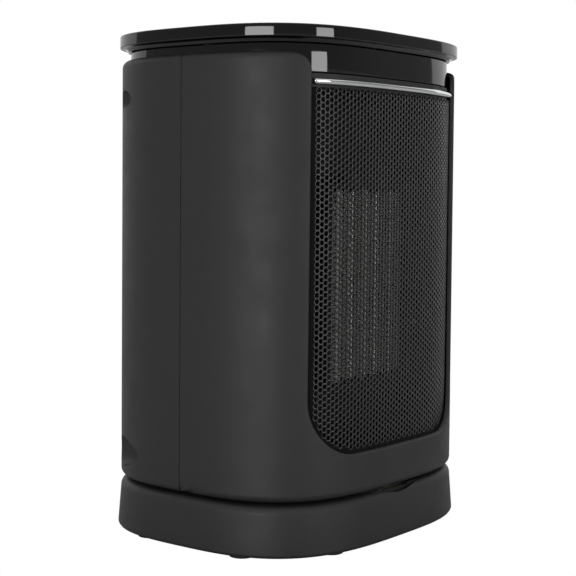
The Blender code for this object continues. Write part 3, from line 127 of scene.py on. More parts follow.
class Axis(Enum):
    """The direction of the axis that a profile turns about."""

    UP = "Z"
    BACK = "Y"


@dataclass(frozen=True)
class Finish:
    """One real material with the surface that its making left.

    The relief is a fine noise whose cells are as wide as the real grain. A second, broad
    noise moves the colour between two close tones, and a third one moves the roughness.
    """

    name: str
    slot: str
    tone: str
    second_tone: str
    roughness: float
    roughness_spread: float
    grain: Grain
    grain_size: float
    relief: float
    relief_strength: float = 0.5
    cloud_size: float = 30 * MM
    metallic: float = 0.0
    ior: float = 1.5
    streak: tuple[float, float, float] = (1.0, 1.0, 1.0)

    def material(self) -> bpy.types.Material:
        """Makes the finish into a Blender material, the first time it is asked for.

        Returns:
            The material.
        """
        made = bpy.data.materials.get(self.name)
        if made is not None:
            return made
        made = bpy.data.materials.new(self.name)
        made.use_nodes = True
        tree = made.node_tree
        shader = tree.nodes["Principled BSDF"]
        shader.inputs["Metallic"].default_value = self.metallic
        if not self.metallic:
            shader.inputs["IOR"].default_value = self.ior
        place = add_node(tree, "ShaderNodeTexCoord").outputs["Object"]
        self.paint(tree, shader, place)
        self.emboss(tree, shader, place)
        return made

    def paint(self, tree: bpy.types.NodeTree, shader: bpy.types.Node,
              place: bpy.types.NodeSocket) -> None:
        """Links the colour and the roughness.

        Args:
            tree: the material's tree.
            shader: its Principled node.
            place: the coordinates that the patterns read.
        """
        clouds = add_node(tree, "ShaderNodeTexNoise",
                          {"Scale": 1 / self.cloud_size, "Detail": 3.0, "Roughness": 0.6},
                          {"Vector": place})
        colour = add_node(tree, "ShaderNodeMix",
                          {"data_type": "RGBA", 6: linear(self.tone), 7: linear(self.second_tone)},
                          {0: clouds.outputs["Fac"]})
        tree.links.new(colour.outputs[2], shader.inputs["Base Color"])
        wipes = add_node(tree, "ShaderNodeTexNoise",
                         {"Scale": 3 / self.cloud_size, "Detail": 4.0, "Roughness": 0.65},
                         {"Vector": place})
        rough = add_node(tree, "ShaderNodeMapRange",
                         {"From Min": 0.3, "From Max": 0.7,
                          "To Min": self.roughness - self.roughness_spread,
                          "To Max": self.roughness + self.roughness_spread},
                         {"Value": wipes.outputs["Fac"]})
        tree.links.new(rough.outputs["Result"], shader.inputs["Roughness"])

    def emboss(self, tree: bpy.types.NodeTree, shader: bpy.types.Node,
               place: bpy.types.NodeSocket) -> None:
        """Links the relief.

        Args:
            tree: the material's tree.
            shader: its Principled node.
            place: the coordinates that the pattern reads.
        """
        turned = add_node(tree, "ShaderNodeMapping", {"Scale": self.streak}, {"Vector": place})
        along = turned.outputs["Vector"]
        if self.grain is Grain.WOUND:
            turns = add_node(tree, "ShaderNodeTexWave",
                             {"bands_direction": "Y", "Scale": 1 / (self.grain_size * 20),
                              "Distortion": 0.4, "Detail": 1.0}, {"Vector": along})
            height = turns.outputs["Fac"]
        elif self.grain in (Grain.SPARK, Grain.CAST):
            pits = add_node(tree, "ShaderNodeTexVoronoi",
                            {"feature": "SMOOTH_F1", "Scale": 1 / self.grain_size, "Smoothness": 0.7},
                            {"Vector": along})
            height = pits.outputs["Distance"]
        else:
            noise = add_node(tree, "ShaderNodeTexNoise",
                             {"Scale": 1 / self.grain_size, "Detail": 2.0}, {"Vector": along})
            height = noise.outputs["Fac"]
        bump = add_node(tree, "ShaderNodeBump",
                        {"Strength": self.relief_strength, "Distance": self.relief},
                        {"Height": height})
        tree.links.new(bump.outputs["Normal"], shader.inputs["Normal"])


@dataclass(frozen=True)
class BoardFinish(Finish):
    """Glass-epoxy board under green lacquer. What stands above the board is dark plastic."""

    top: float = 0.0
    part_tone: str = "16181a"

    def paint(self, tree: bpy.types.NodeTree, shader: bpy.types.Node,
              place: bpy.types.NodeSocket) -> None:
        """Links the lacquer with its tracks, and the parts' own colour above the board.

        Args:
            tree: the material's tree.
            shader: its Principled node.
            place: the coordinates that the patterns read.
        """
        tracks = add_node(tree, "ShaderNodeTexBrick",
                          {"Scale": 1 / (12 * MM), "Mortar Size": 0.04, "Mortar Smooth": 0.2,
                           "Color1": linear(self.tone), "Color2": linear(self.second_tone),
                           "Mortar": linear("2f7d4b")}, {"Vector": place})
        height = add_node(tree, "ShaderNodeSeparateXYZ", None, {0: place}).outputs["Z"]
        above = add_node(tree, "ShaderNodeMath", {"operation": "GREATER_THAN", 1: self.top},
                         {0: height})
        colour = add_node(tree, "ShaderNodeMix", {"data_type": "RGBA", 7: linear(self.part_tone)},
                          {0: above.outputs[0], 6: tracks.outputs["Color"]})
        tree.links.new(colour.outputs[2], shader.inputs["Base Color"])
        rough = add_node(tree, "ShaderNodeMapRange", {"To Min": 0.3, "To Max": 0.55},
                         {"Value": above.outputs[0]})
        tree.links.new(rough.outputs["Result"], shader.inputs["Roughness"])


# Spark-eroded ABS: a fine matt grain that spreads the light and hides flow marks.
SHELL_ABS = Finish("spark_eroded_abs", "shell_plastic", "1b1b1d", "212123", 0.58, 0.05,
                   Grain.SPARK, 0.45 * MM, 0.03 * MM, 0.5, 45 * MM, ior=1.53)
# Polished ABS: piano black, mirrors the lights with a very slight waviness.
GLOSS_ABS = Finish("polished_abs", "gloss_plastic", "08080a", "0b0b0d", 0.045, 0.02,
                   Grain.POLISHED, 9 * MM, 0.004 * MM, 0.3, 60 * MM, ior=1.53)
# Glass-filled nylon and PBT inside the body: duller and rougher than the casing.
INNER_PBT = Finish("glass_filled_pbt", "inner_plastic", "141415", "1b1b1c", 0.62, 0.08,
                   Grain.SPARK, 0.7 * MM, 0.05 * MM, 0.5, 25 * MM, ior=1.55)
# Natural nylon of gears and glides: milky, slightly waxy.
NYLON = Finish("moulded_nylon", "nylon", "e4ddc9", "d8cfb6", 0.42, 0.06,
               Grain.POLISHED, 1.5 * MM, 0.02 * MM, 0.4, 14 * MM, ior=1.53)
# Soft black rubber with mould bloom.
RUBBER = Finish("moulded_rubber", "rubber", "19191a", "232324", 0.82, 0.06,
                Grain.CAST, 0.5 * MM, 0.05 * MM, 0.5, 8 * MM, ior=1.52)
# Steel sheet under baked black enamel: smooth, with rims that catch the light.
ENAMEL = Finish("baked_enamel_on_steel", "grille_metal", "101011", "161617", 0.3, 0.05,
                Grain.SPRAYED, 0.5 * MM, 0.015 * MM, 0.4, 12 * MM, ior=1.55)
# The sheet's margin: the same enamel made matt, with a darker tone that paints the shade the window's lip
# casts on it.
SHADE_PAINTED_ENAMEL = Finish("matt_enamel_painted_shade", "grille_metal", "060606", "090909", 0.85, 0.05,
                     Grain.CAST, 0.6 * MM, 0.02 * MM, 0.4, 20 * MM, ior=1.3)
# Chrome plate on ABS: a mirror with a faint waviness.
CHROME = Finish("chrome_plate", "chrome", "e6e8ea", "f2f3f4", 0.05, 0.02,
                Grain.POLISHED, 6 * MM, 0.004 * MM, 0.3, 10 * MM, metallic=1.0)
# Rolled aluminium foil of the fins: fine streaks along the rolling. Heat has dulled it and
# left a pale oxide, so it is only part mirror.
FIN_FOIL = Finish("rolled_aluminium_foil", "aluminium", "f4f3f0", "e4e2dd", 0.42, 0.1,
                  Grain.ROLLED, 0.5 * MM, 0.02 * MM, 0.5, 6 * MM, metallic=0.45,
                  streak=(1.0, 0.15, 1.0))
# Drawn aluminium of sleeves and brackets: streaks along the drawing under a pale oxide.
DRAWN_ALUMINIUM = Finish("drawn_aluminium", "aluminium", "d6d4ce", "c6c4be", 0.45, 0.08,
                         Grain.ROLLED, 0.6 * MM, 0.02 * MM, 0.5, 14 * MM, metallic=0.5,
                         streak=(1.0, 1.0, 0.1))
# Zinc-plated steel: bright grey with cloudy passivation.
ZINC_STEEL = Finish("zinc_plated_steel", "steel", "a9abae", "92959a", 0.34, 0.09,
                    Grain.ROLLED, 0.4 * MM, 0.015 * MM, 0.4, 5 * MM, metallic=1.0)
# Enamelled copper wire wound in even turns.
WINDING = Finish("enamelled_copper_wire", "copper_winding", "b0622c", "8f4a20", 0.32, 0.06,
                 Grain.WOUND, 0.5 * MM, 0.15 * MM, 0.8, 6 * MM, metallic=1.0)
# Oil-soaked sintered bronze: open pores, dark between the grains.
BRONZE = Finish("sintered_bronze", "bronze", "8c6a38", "74552b", 0.48, 0.08,
                Grain.CAST, 0.3 * MM, 0.04 * MM, 0.6, 3 * MM, metallic=1.0)


# ---------------------------------------------------------------- meshes


def grid_faces(rows: int, columns: int, wrap_rows: bool = False, wrap_columns: bool = False) -> np.ndarray:
    """Quads between the neighbours of a grid of vertices numbered row by row.

    Args:
        rows: how many rows of vertices there are.
        columns: how many vertices each row has.
        wrap_rows: whether the last row meets the first.
        wrap_columns: whether each row is a closed loop.

    Returns:
        One quad per line, as vertex numbers.
    """
    i = np.arange(rows if wrap_rows else rows - 1)[:, None]
    j = np.arange(columns if wrap_columns else columns - 1)[None, :]
    below, beside = (i + 1) % rows, (j + 1) % columns
    corners = (i * columns + j, i * columns + beside, below * columns + beside, below * columns + j)
    return np.stack(np.broadcast_arrays(*corners), axis=-1).reshape(-1, 4)


def facing_out(points: np.ndarray, faces: Faces) -> Faces:
    """Turns every face round if together they hold a negative volume.

    The volume is a sixth of the sum of a . (b x c) over a fan of triangles in each face.

    Args:
        points: vertex places, one per line.
        faces: vertex numbers of each face of a closed surface.

    Returns:
        The faces, each turned outwards.
    """
    volume = 0.0
    for size in {len(face) for face in faces}:
        chosen = np.array([face for face in faces if len(face) == size])
        for k in range(1, size - 1):
            a, b, c = points[chosen[:, 0]], points[chosen[:, k]], points[chosen[:, k + 1]]
            volume += np.einsum("ij,ij->", a, np.cross(b, c))
    return faces if volume > 0 else [tuple(reversed(face)) for face in faces]


def make_object(name: str, points: np.ndarray, faces: Faces, sharp: float = SHARP) -> bpy.types.Object:
    """Makes a closed surface into an object at the origin, smooth apart from its edges.

    Args:
        name: the object's name.
        points: vertex places, one per line.
        faces: vertex numbers of each face.
        sharp: the angle in degrees from which an edge stays sharp.

    Returns:
        The new object.
    """
    mesh = bpy.data.meshes.new(name)
    mesh.from_pydata(points.tolist(), [], facing_out(points, faces))
    mesh.shade_smooth()
    mesh.set_sharp_from_angle(angle=math.radians(sharp))
    made = bpy.data.objects.new(name, mesh)
    bpy.context.scene.collection.objects.link(made)
    return made


def capped(points: np.ndarray) -> tuple[np.ndarray, Faces]:
    """Closed loops stacked into a solid, with a flat face over the first and the last one.

    Args:
        points: rows by columns by 3.

    Returns:
        The vertices and the faces.
    """
    rows, columns = points.shape[:2]
    faces = [tuple(face) for face in grid_faces(rows, columns, wrap_columns=True).tolist()]
    faces.append(tuple(reversed(range(columns))))
    faces.append(tuple(range((rows - 1) * columns, rows * columns)))
    return points.reshape(-1, 3), faces


def laddered(points: np.ndarray) -> tuple[np.ndarray, Faces]:
    """Closed loops in a row, whose two ends are closed by rungs across each loop.

    The first half of a loop is the outer skin and the second half is the inner skin the
    other way round, so rung j joins point j to the point that lies behind it.

    Args:
        points: rows by columns by 3, with an even number of columns.

    Returns:
        The vertices and the faces.
    """
    rows, columns = points.shape[:2]
    faces = [tuple(face) for face in grid_faces(rows, columns, wrap_columns=True).tolist()]
    j = np.arange(columns // 2 - 1)
    rungs = np.stack([j, columns - 1 - j, columns - 2 - j, j + 1], axis=1)
    faces += [tuple(face) for face in rungs.tolist()]
    faces += [tuple(reversed(face)) for face in (rungs + (rows - 1) * columns).tolist()]
    return points.reshape(-1, 3), faces


def merged(parts: list[tuple[np.ndarray, Faces]]) -> tuple[np.ndarray, Faces]:
    """Puts several closed surfaces into one list of vertices and one of faces.

    Args:
        parts: the vertices and faces of each surface.

    Returns:
        All vertices and all faces.
    """
    points, faces, count = [], [], 0
    for own_points, own_faces in parts:
        own_faces = facing_out(own_points, own_faces)
        faces += [tuple(number + count for number in face) for face in own_faces]
        points.append(own_points)
        count += len(own_points)
    return np.concatenate(points), faces


def arc(centre: tuple[float, float], radius: float, start: float, end: float, steps: int) -> np.ndarray:
    """Points on an arc, with both ends: centre + radius (cos a, sin a), a in degrees."""
    angle = np.radians(np.linspace(start, end, steps + 1))
    return np.stack([centre[0] + radius * np.cos(angle), centre[1] + radius * np.sin(angle)], axis=1)


def turned(profile: np.ndarray, centre: Vector, axis: Axis = Axis.UP,
           steps: int = 48) -> tuple[np.ndarray, Faces]:
    """A (radius, height) profile turned about an axis: (r cos a, r sin a, h).

    Args:
        profile: an open profile. Its two ends are closed by flat discs.
        centre: where the axis crosses height 0.
        axis: which way the axis points. Heights along it grow upwards or backwards.
        steps: how many sides the turned surface has.

    Returns:
        The vertices and the faces.
    """
    angle = 2 * np.pi * np.arange(steps) / steps
    radius, height = profile[:, :1], np.repeat(profile[:, 1:], steps, axis=1)
    x, y = radius * np.cos(angle), radius * np.sin(angle)
    columns = [x, y, height] if axis is Axis.UP else [x, height, -y]
    return capped(np.stack(columns, axis=-1) + np.array(centre))


def pushed(flat: np.ndarray, start: float, end: float) -> tuple[np.ndarray, Faces]:
    """A closed outline of (x, z) points pushed along Y from start to end."""
    rows = [np.stack([flat[:, 0], np.full(len(flat), y), flat[:, 1]], axis=1) for y in (start, end)]
    return capped(np.array(rows))


def carve(piece: bpy.types.Object, carving: Carving, tool: tuple[np.ndarray, Faces],
          sharp: float = SHARP) -> None:
    """Joins a closed surface to a piece, or cuts it away, and leaves no modifier.

    A bore that meets a round corner at a slant has no simple grid of its own, so these
    few openings are cut and not worked out as surfaces.

    Args:
        piece: the piece that changes.
        carving: what the tool does to it.
        tool: the surface's vertices and faces.
        sharp: the angle in degrees from which an edge stays sharp.
    """
    helper = make_object(f"{piece.name}_tool", *tool)
    modifier = piece.modifiers.new(carving.name, "BOOLEAN")
    modifier.operation = carving.value
    modifier.solver = "EXACT"
    modifier.object = helper
    graph = bpy.context.evaluated_depsgraph_get()
    mesh = bpy.data.meshes.new_from_object(piece.evaluated_get(graph))
    piece.modifiers.clear()
    piece.data = mesh
    bpy.data.objects.remove(helper)
    mesh.shade_smooth()
    mesh.set_sharp_from_angle(angle=math.radians(sharp))


def settle(piece: bpy.types.Object, body: str, finish: Finish, *nodes: str) -> None:
    """Gives a finished piece its finish and its body, and lets it stand for CAD nodes.

    Args:
        piece: the piece, with its place in its mesh.
        body: the CAD body that it rides on.
        finish: its finish.
        nodes: the CAD nodes that it replaces.
    """
    piece.data.materials.clear()
    piece.data.materials.append(finish.material())
    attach(piece, body)
    if nodes:
        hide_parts(*nodes)
    LOG.info("%s: %d faces, %s", piece.name, len(piece.data.polygons), finish.grain.value)


def dress(finish: Finish, *nodes: str) -> None:
    """Gives CAD nodes that keep their own mesh a finish, and reports each.

    Args:
        finish: the finish.
        nodes: the names of the nodes.
    """
    for name in nodes:
        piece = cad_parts[name]
        piece.data.materials.clear()
        piece.data.materials.append(finish.material())
        LOG.info("%s keeps its mesh, %s", name, finish.name)


def dress_board(name: str, node: str) -> None:
    """Gives a circuit board its lacquer, and what stands on it dark plastic.

    Args:
        name: the finish's name.
        node: the board's node.
    """
    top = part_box(node)[0].z + BOARD_RISE
    dress(BoardFinish(name, "circuit_board", "0f4a2a", "135a33", 0.35, 0.05, Grain.POLISHED,
                      2 * MM, 0.02 * MM, 0.4, top=top), node)


# ---------------------------------------------------------------- plan outline


@dataclass(frozen=True)
class Rail:
    """Half of the plan outline as a path, measured by length from its middle towards +X."""

    length: np.ndarray
    places: np.ndarray
    normals: np.ndarray

    @property
    def reach(self) -> float:
        """Returns the length from the middle to either end."""
        return float(self.length[-1])

    def at(self, run: np.ndarray, offset: np.ndarray) -> np.ndarray:
        """Points at a run along the path, moved out along its normal.

        Args:
            run: lengths along the path.
            offset: how far each point moves out.

        Returns:
            The (x, y) places.
        """
        place = [np.interp(run, self.length, self.places[:, k]) for k in (0, 1)]
        normal = [np.interp(run, self.length, self.normals[:, k]) for k in (0, 1)]
        size = np.hypot(*normal)
        return np.stack([place[k] + offset * normal[k] / size for k in (0, 1)], axis=-1)

    def run_at_x(self, x: np.ndarray, offset: float = 0.0) -> np.ndarray:
        """The run at which the moved path crosses a given x."""
        return np.interp(x, self.places[:, 0] + offset * self.normals[:, 0], self.length)

    def x_at_run(self, run: np.ndarray) -> np.ndarray:
        """The x of the path itself at a run."""
        return np.interp(run, self.length, self.places[:, 0])


@dataclass(frozen=True)
class Plan:
    """The body seen from above: |x / a| ** n + |y / b| ** n = 1, with one n for each half."""

    half_width: float
    half_depth: float
    front_power: float = 3.16
    rear_power: float = 2.9
    fine: int = 3000

    def quarter(self, power: float) -> tuple[np.ndarray, np.ndarray]:
        """Points and unit normals from (a, 0) to (0, b): x = a cos^(2/n) t, y = b sin^(2/n) t.

        Args:
            power: the n of this half.

        Returns:
            The points and the normals.
        """
        t = np.linspace(0.0, np.pi / 2, self.fine + 1)
        x = self.half_width * np.clip(np.cos(t), 0, 1) ** (2 / power)
        y = self.half_depth * np.clip(np.sin(t), 0, 1) ** (2 / power)
        x[-1], y[0] = 0.0, 0.0
        normal = np.stack([(x / self.half_width) ** (power - 1) / self.half_width,
                           (y / self.half_depth) ** (power - 1) / self.half_depth], axis=1)
        return np.stack([x, y], axis=1), normal / np.linalg.norm(normal, axis=1, keepdims=True)

    def rail(self, front: bool) -> Rail:
        """Mirrors a quarter into a half of the outline, as a path from -X to +X.

        Args:
            front: whether it is the front half.

        Returns:
            The path.
        """
        points, normals = self.quarter(self.front_power if front else self.rear_power)
        way = np.array([1.0, -1.0 if front else 1.0])
        right, right_normals = (points * way)[::-1], (normals * way)[::-1]
        flip = np.array([-1.0, 1.0])
        places = np.concatenate([(right * flip)[:0:-1], right])
        turned_normals = np.concatenate([(right_normals * flip)[:0:-1], right_normals])
        steps = np.linalg.norm(np.diff(places, axis=0), axis=1)
        length = np.concatenate([[0.0], np.cumsum(steps)])
        return Rail(length - length[-1] / 2, places, turned_normals)

    def ring(self, steps: int = 44) -> tuple[np.ndarray, np.ndarray]:
        """The whole outline, with points spaced by length and by turning together.

        Args:
            steps: how many points each quarter gets.

        Returns:
            The points and their normals, from +X round through +Y.
        """
        halves = []
        for power in (self.rear_power, self.front_power):
            points, normals = self.quarter(power)
            turn = np.arccos(np.clip((normals[1:] * normals[:-1]).sum(axis=1), -1, 1)) / (np.pi / 2)
            gone = np.linalg.norm(np.diff(points, axis=0), axis=1) / (self.half_width + self.half_depth)
            run = np.concatenate([[0.0], np.cumsum(turn + gone)])
            wanted = np.linspace(0.0, run[-1], steps + 1)
            picked = [np.interp(wanted, run, column) for column in (*points.T, *normals.T)]
            halves.append(np.stack(picked, axis=1))
        rear, front = halves
        mirror_x, mirror_y = np.array([-1, 1, -1, 1]), np.array([1, -1, 1, -1])
        whole = np.concatenate([rear, (rear * mirror_x)[-2::-1], (front * mirror_x * mirror_y)[1:],
                                (front * mirror_y)[-2:0:-1]])
        return whole[:, :2], whole[:, 2:]

    def stack(self, profile: np.ndarray, steps: int = 44) -> np.ndarray:
        """Rows of the ring, one for each (offset, height) point of a profile.

        Args:
            profile: the points, with offsets out along the outline's normals.
            steps: how many points each quarter of a row gets.

        Returns:
            Rows by points by 3.
        """
        points, normals = self.ring(steps)
        rows = [np.column_stack([points + offset * normals, np.full(len(points), height)])
                for offset, height in profile]
        return np.array(rows)


@dataclass(frozen=True)
class Section:
    """An upright profile of (offset, height) points, measured by length from its lower end."""

    points: np.ndarray

    @property
    def length(self) -> np.ndarray:
        """Returns the length along the profile at each of its points."""
        steps = np.linalg.norm(np.diff(self.points, axis=0), axis=1)
        return np.concatenate([[0.0], np.cumsum(steps)])

    def at(self, run: np.ndarray, depth: np.ndarray) -> tuple[np.ndarray, np.ndarray]:
        """Offset and height at a run, sunk by depth along the profile's own normal.

        The tangent comes from the profile's slopes, and the outward normal is the tangent
        turned a quarter clockwise: (t_height, -t_offset).

        Args:
            run: lengths along the profile.
            depth: how far each point is sunk.

        Returns:
            The offsets and the heights.
        """
        length = self.length
        slope = np.gradient(self.points, length, axis=0)
        slope /= np.linalg.norm(slope, axis=1, keepdims=True)
        offset, height = (np.interp(run, length, self.points[:, k]) for k in (0, 1))
        along, up = (np.interp(run, length, slope[:, k]) for k in (0, 1))
        size = np.hypot(along, up)
        return offset - depth * up / size, height + depth * along / size


# ---------------------------------------------------------------- base


@dataclass
class Base:
    """The still part: a low flared cover with a round recess on top, plate, feet and gland."""

    plan: Plan
    flare_top: float = 0.8 * MM
    flare_bottom: float = 2.3 * MM
    top_fillet: float = 4.5 * MM
    bottom_fillet: float = 1.8 * MM
    wall: float = 2.2 * MM
    recess_radius: float = 71.5 * MM
    recess_depth: float = 1.0 * MM
    notch_edge: float = 0.3 * MM
    notch_chord: float = 3.2 * MM
    notch_depth: float = 2.9 * MM
    top_flat: float = 0.6 * MM
    pivot_hole: float = 12.3 * MM
    foot_edge: float = 0.5 * MM
    foot_centre: float = 0.4 * MM
    groove_inner: float = 3.6 * MM
    groove_outer: float = 4.5 * MM
    groove_slope: float = 0.2 * MM
    groove_depth: float = 0.35 * MM
    shoulder_drop: float = 1.5 * MM
    shoulder_break: float = 0.2 * MM
    spigot: float = 3.0 * MM
    spigot_break: float = 0.3 * MM
    gland_bore: float = 3.6 * MM
    gland_clasp: float = 1.4 * MM
    gland_lip: float = 1.7 * MM
    gland_round: float = 0.6 * MM
    gland_break: float = 0.3 * MM
    gland_flange: float = 0.55
    gland_sides: int = 48
    low: float = field(init=False)
    high: float = field(init=False)

    def __post_init__(self) -> None:
        """Reads the cover's lowest and highest places from the frame."""
        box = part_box("base_cover")
        self.low, self.high = box[0].z, box[1].z

    def build(self) -> None:
        """Makes and dresses every piece of the base."""
        self.build_cover()
        self.build_feet()
        self.build_gland()
        dress(SHELL_ABS, "base_plate")
        dress(ZINC_STEEL, "swing_motor", "plunger_spring")
        dress(NYLON, "drive_pinion", "glide_ring", "tip_plunger")
        dress(INNER_PBT, "tip_switch")

    def cover_profile(self) -> np.ndarray:
        """Inner ceiling edge, inner wall, round lower edge, flared side, round upper edge.

        Returns:
            The (offset, height) points in that order.
        """
        ceiling = self.high - self.recess_depth - self.wall
        inner_low, inner_high = self.flare_bottom - self.wall, self.flare_top - self.wall
        inside = np.array([[inner_high - 2 * self.wall, ceiling], [inner_high - self.wall, ceiling],
                           [inner_high, ceiling - self.wall],
                           [inner_low, self.low + self.bottom_fillet], [inner_low, self.low]])
        lower = arc((self.flare_bottom - self.bottom_fillet, self.low + self.bottom_fillet),
                    self.bottom_fillet, -60, 0, 6)
        lower[:, 1] = np.maximum(lower[:, 1], self.low)
        lower[0, 1] = self.low
        upper = arc((self.flare_top - self.top_fillet, self.high - self.top_fillet),
                    self.top_fillet, 0, 90, 10)
        flat = np.array([[-self.top_fillet - self.top_flat, self.high]])
        return np.concatenate([inside, lower, upper, flat])

    def build_cover(self) -> None:
        """Sweeps the cover and cuts the turntable's recess, the pivot hole and the gland hole."""
        cover = make_object("base_cover_skin", *capped(self.plan.stack(self.cover_profile())))
        floor = self.high - self.recess_depth
        centre = Vector((0, 0, 0))
        for radius, bottom in ((self.recess_radius, floor), (self.pivot_hole, self.low)):
            ends = np.array([[radius, bottom], [radius, self.high + REACH]])
            carve(cover, Carving.REMOVE, turned(ends, centre, steps=128))
        notch = self.plan.half_depth + self.notch_edge
        half_angle = math.degrees(math.acos((self.plan.half_depth - self.notch_chord) / notch))
        for way in (-90, 90):
            outline = arc((0.0, 0.0), notch, way - half_angle, way + half_angle, 48)
            rows = [np.column_stack([outline, np.full(len(outline), height)])
                    for height in (self.high - self.notch_depth, self.high + REACH)]
            carve(cover, Carving.REMOVE, capped(np.array(rows)))
        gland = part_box("cord_gland")
        radius = (gland[1].z - gland[0].z) / 2 - self.gland_clasp
        middle = Vector((0, 0, (gland[0].z + gland[1].z) / 2))
        hole = np.array([[radius, gland[0].y - REACH], [radius, gland[1].y + REACH]])
        carve(cover, Carving.REMOVE, turned(hole, middle, Axis.BACK))
        settle(cover, "base", SHELL_ABS, "base_cover")

    def build_feet(self) -> None:
        """Turns each foot with a rounded tread, a shallow ring groove in it and its spigot."""
        for number in range(1, 9):
            low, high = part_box(f"foot_{number}")
            centre = (low + high) / 2
            radius = (high.x - low.x) / 2
            shoulder = high.z - self.shoulder_drop
            profile = np.concatenate([
                [[self.foot_centre, 0.0], [self.groove_inner, 0.0],
                 [self.groove_inner + self.groove_slope, self.groove_depth],
                 [self.groove_outer - self.groove_slope, self.groove_depth],
                 [self.groove_outer, 0.0]],
                arc((radius - self.foot_edge, self.foot_edge), self.foot_edge, -90, 0, 5),
                [[radius, shoulder - self.shoulder_break], [radius - self.shoulder_break, shoulder],
                 [self.spigot, shoulder], [self.spigot, high.z - self.spigot_break],
                 [self.spigot - self.spigot_break, high.z]]])
            points, faces = turned(profile, Vector((centre.x, centre.y, 0)), steps=40)
            settle(make_object(f"rubber_foot_{number}", points, faces), "base", RUBBER, f"foot_{number}")

    def build_gland(self) -> None:
        """Turns the gland as a ring with a rounded mouth: the bore, the flange and the neck."""
        low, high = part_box("cord_gland")
        radius = (high.z - low.z) / 2
        neck = radius - self.gland_lip
        middle = Vector((0, low.y, (low.z + high.z) / 2))
        length = high.y - low.y
        flange = length * self.gland_flange
        mouth = self.gland_round
        outside = np.concatenate([
            [[radius, 0.0], [radius, flange - self.gland_break], [radius - self.gland_break, flange],
             [neck, flange]],
            arc((neck - mouth, length - mouth), mouth, 0, 90, 4),
            arc((self.gland_bore + mouth, length - mouth), mouth, 90, 180, 4),
            [[self.gland_bore, 0.0]]])
        sides = self.gland_sides
        angle = 2 * np.pi * np.arange(sides) / sides
        rows = np.stack([outside[:, :1] * np.cos(angle), np.repeat(outside[:, 1:], sides, axis=1),
                         -outside[:, :1] * np.sin(angle)], axis=-1) + np.array(middle)
        faces = [tuple(face) for face in grid_faces(len(outside), sides, True, True).tolist()]
        settle(make_object("gland_bush", rows.reshape(-1, 3), faces), "base", RUBBER, "cord_gland")


# ---------------------------------------------------------------- shells


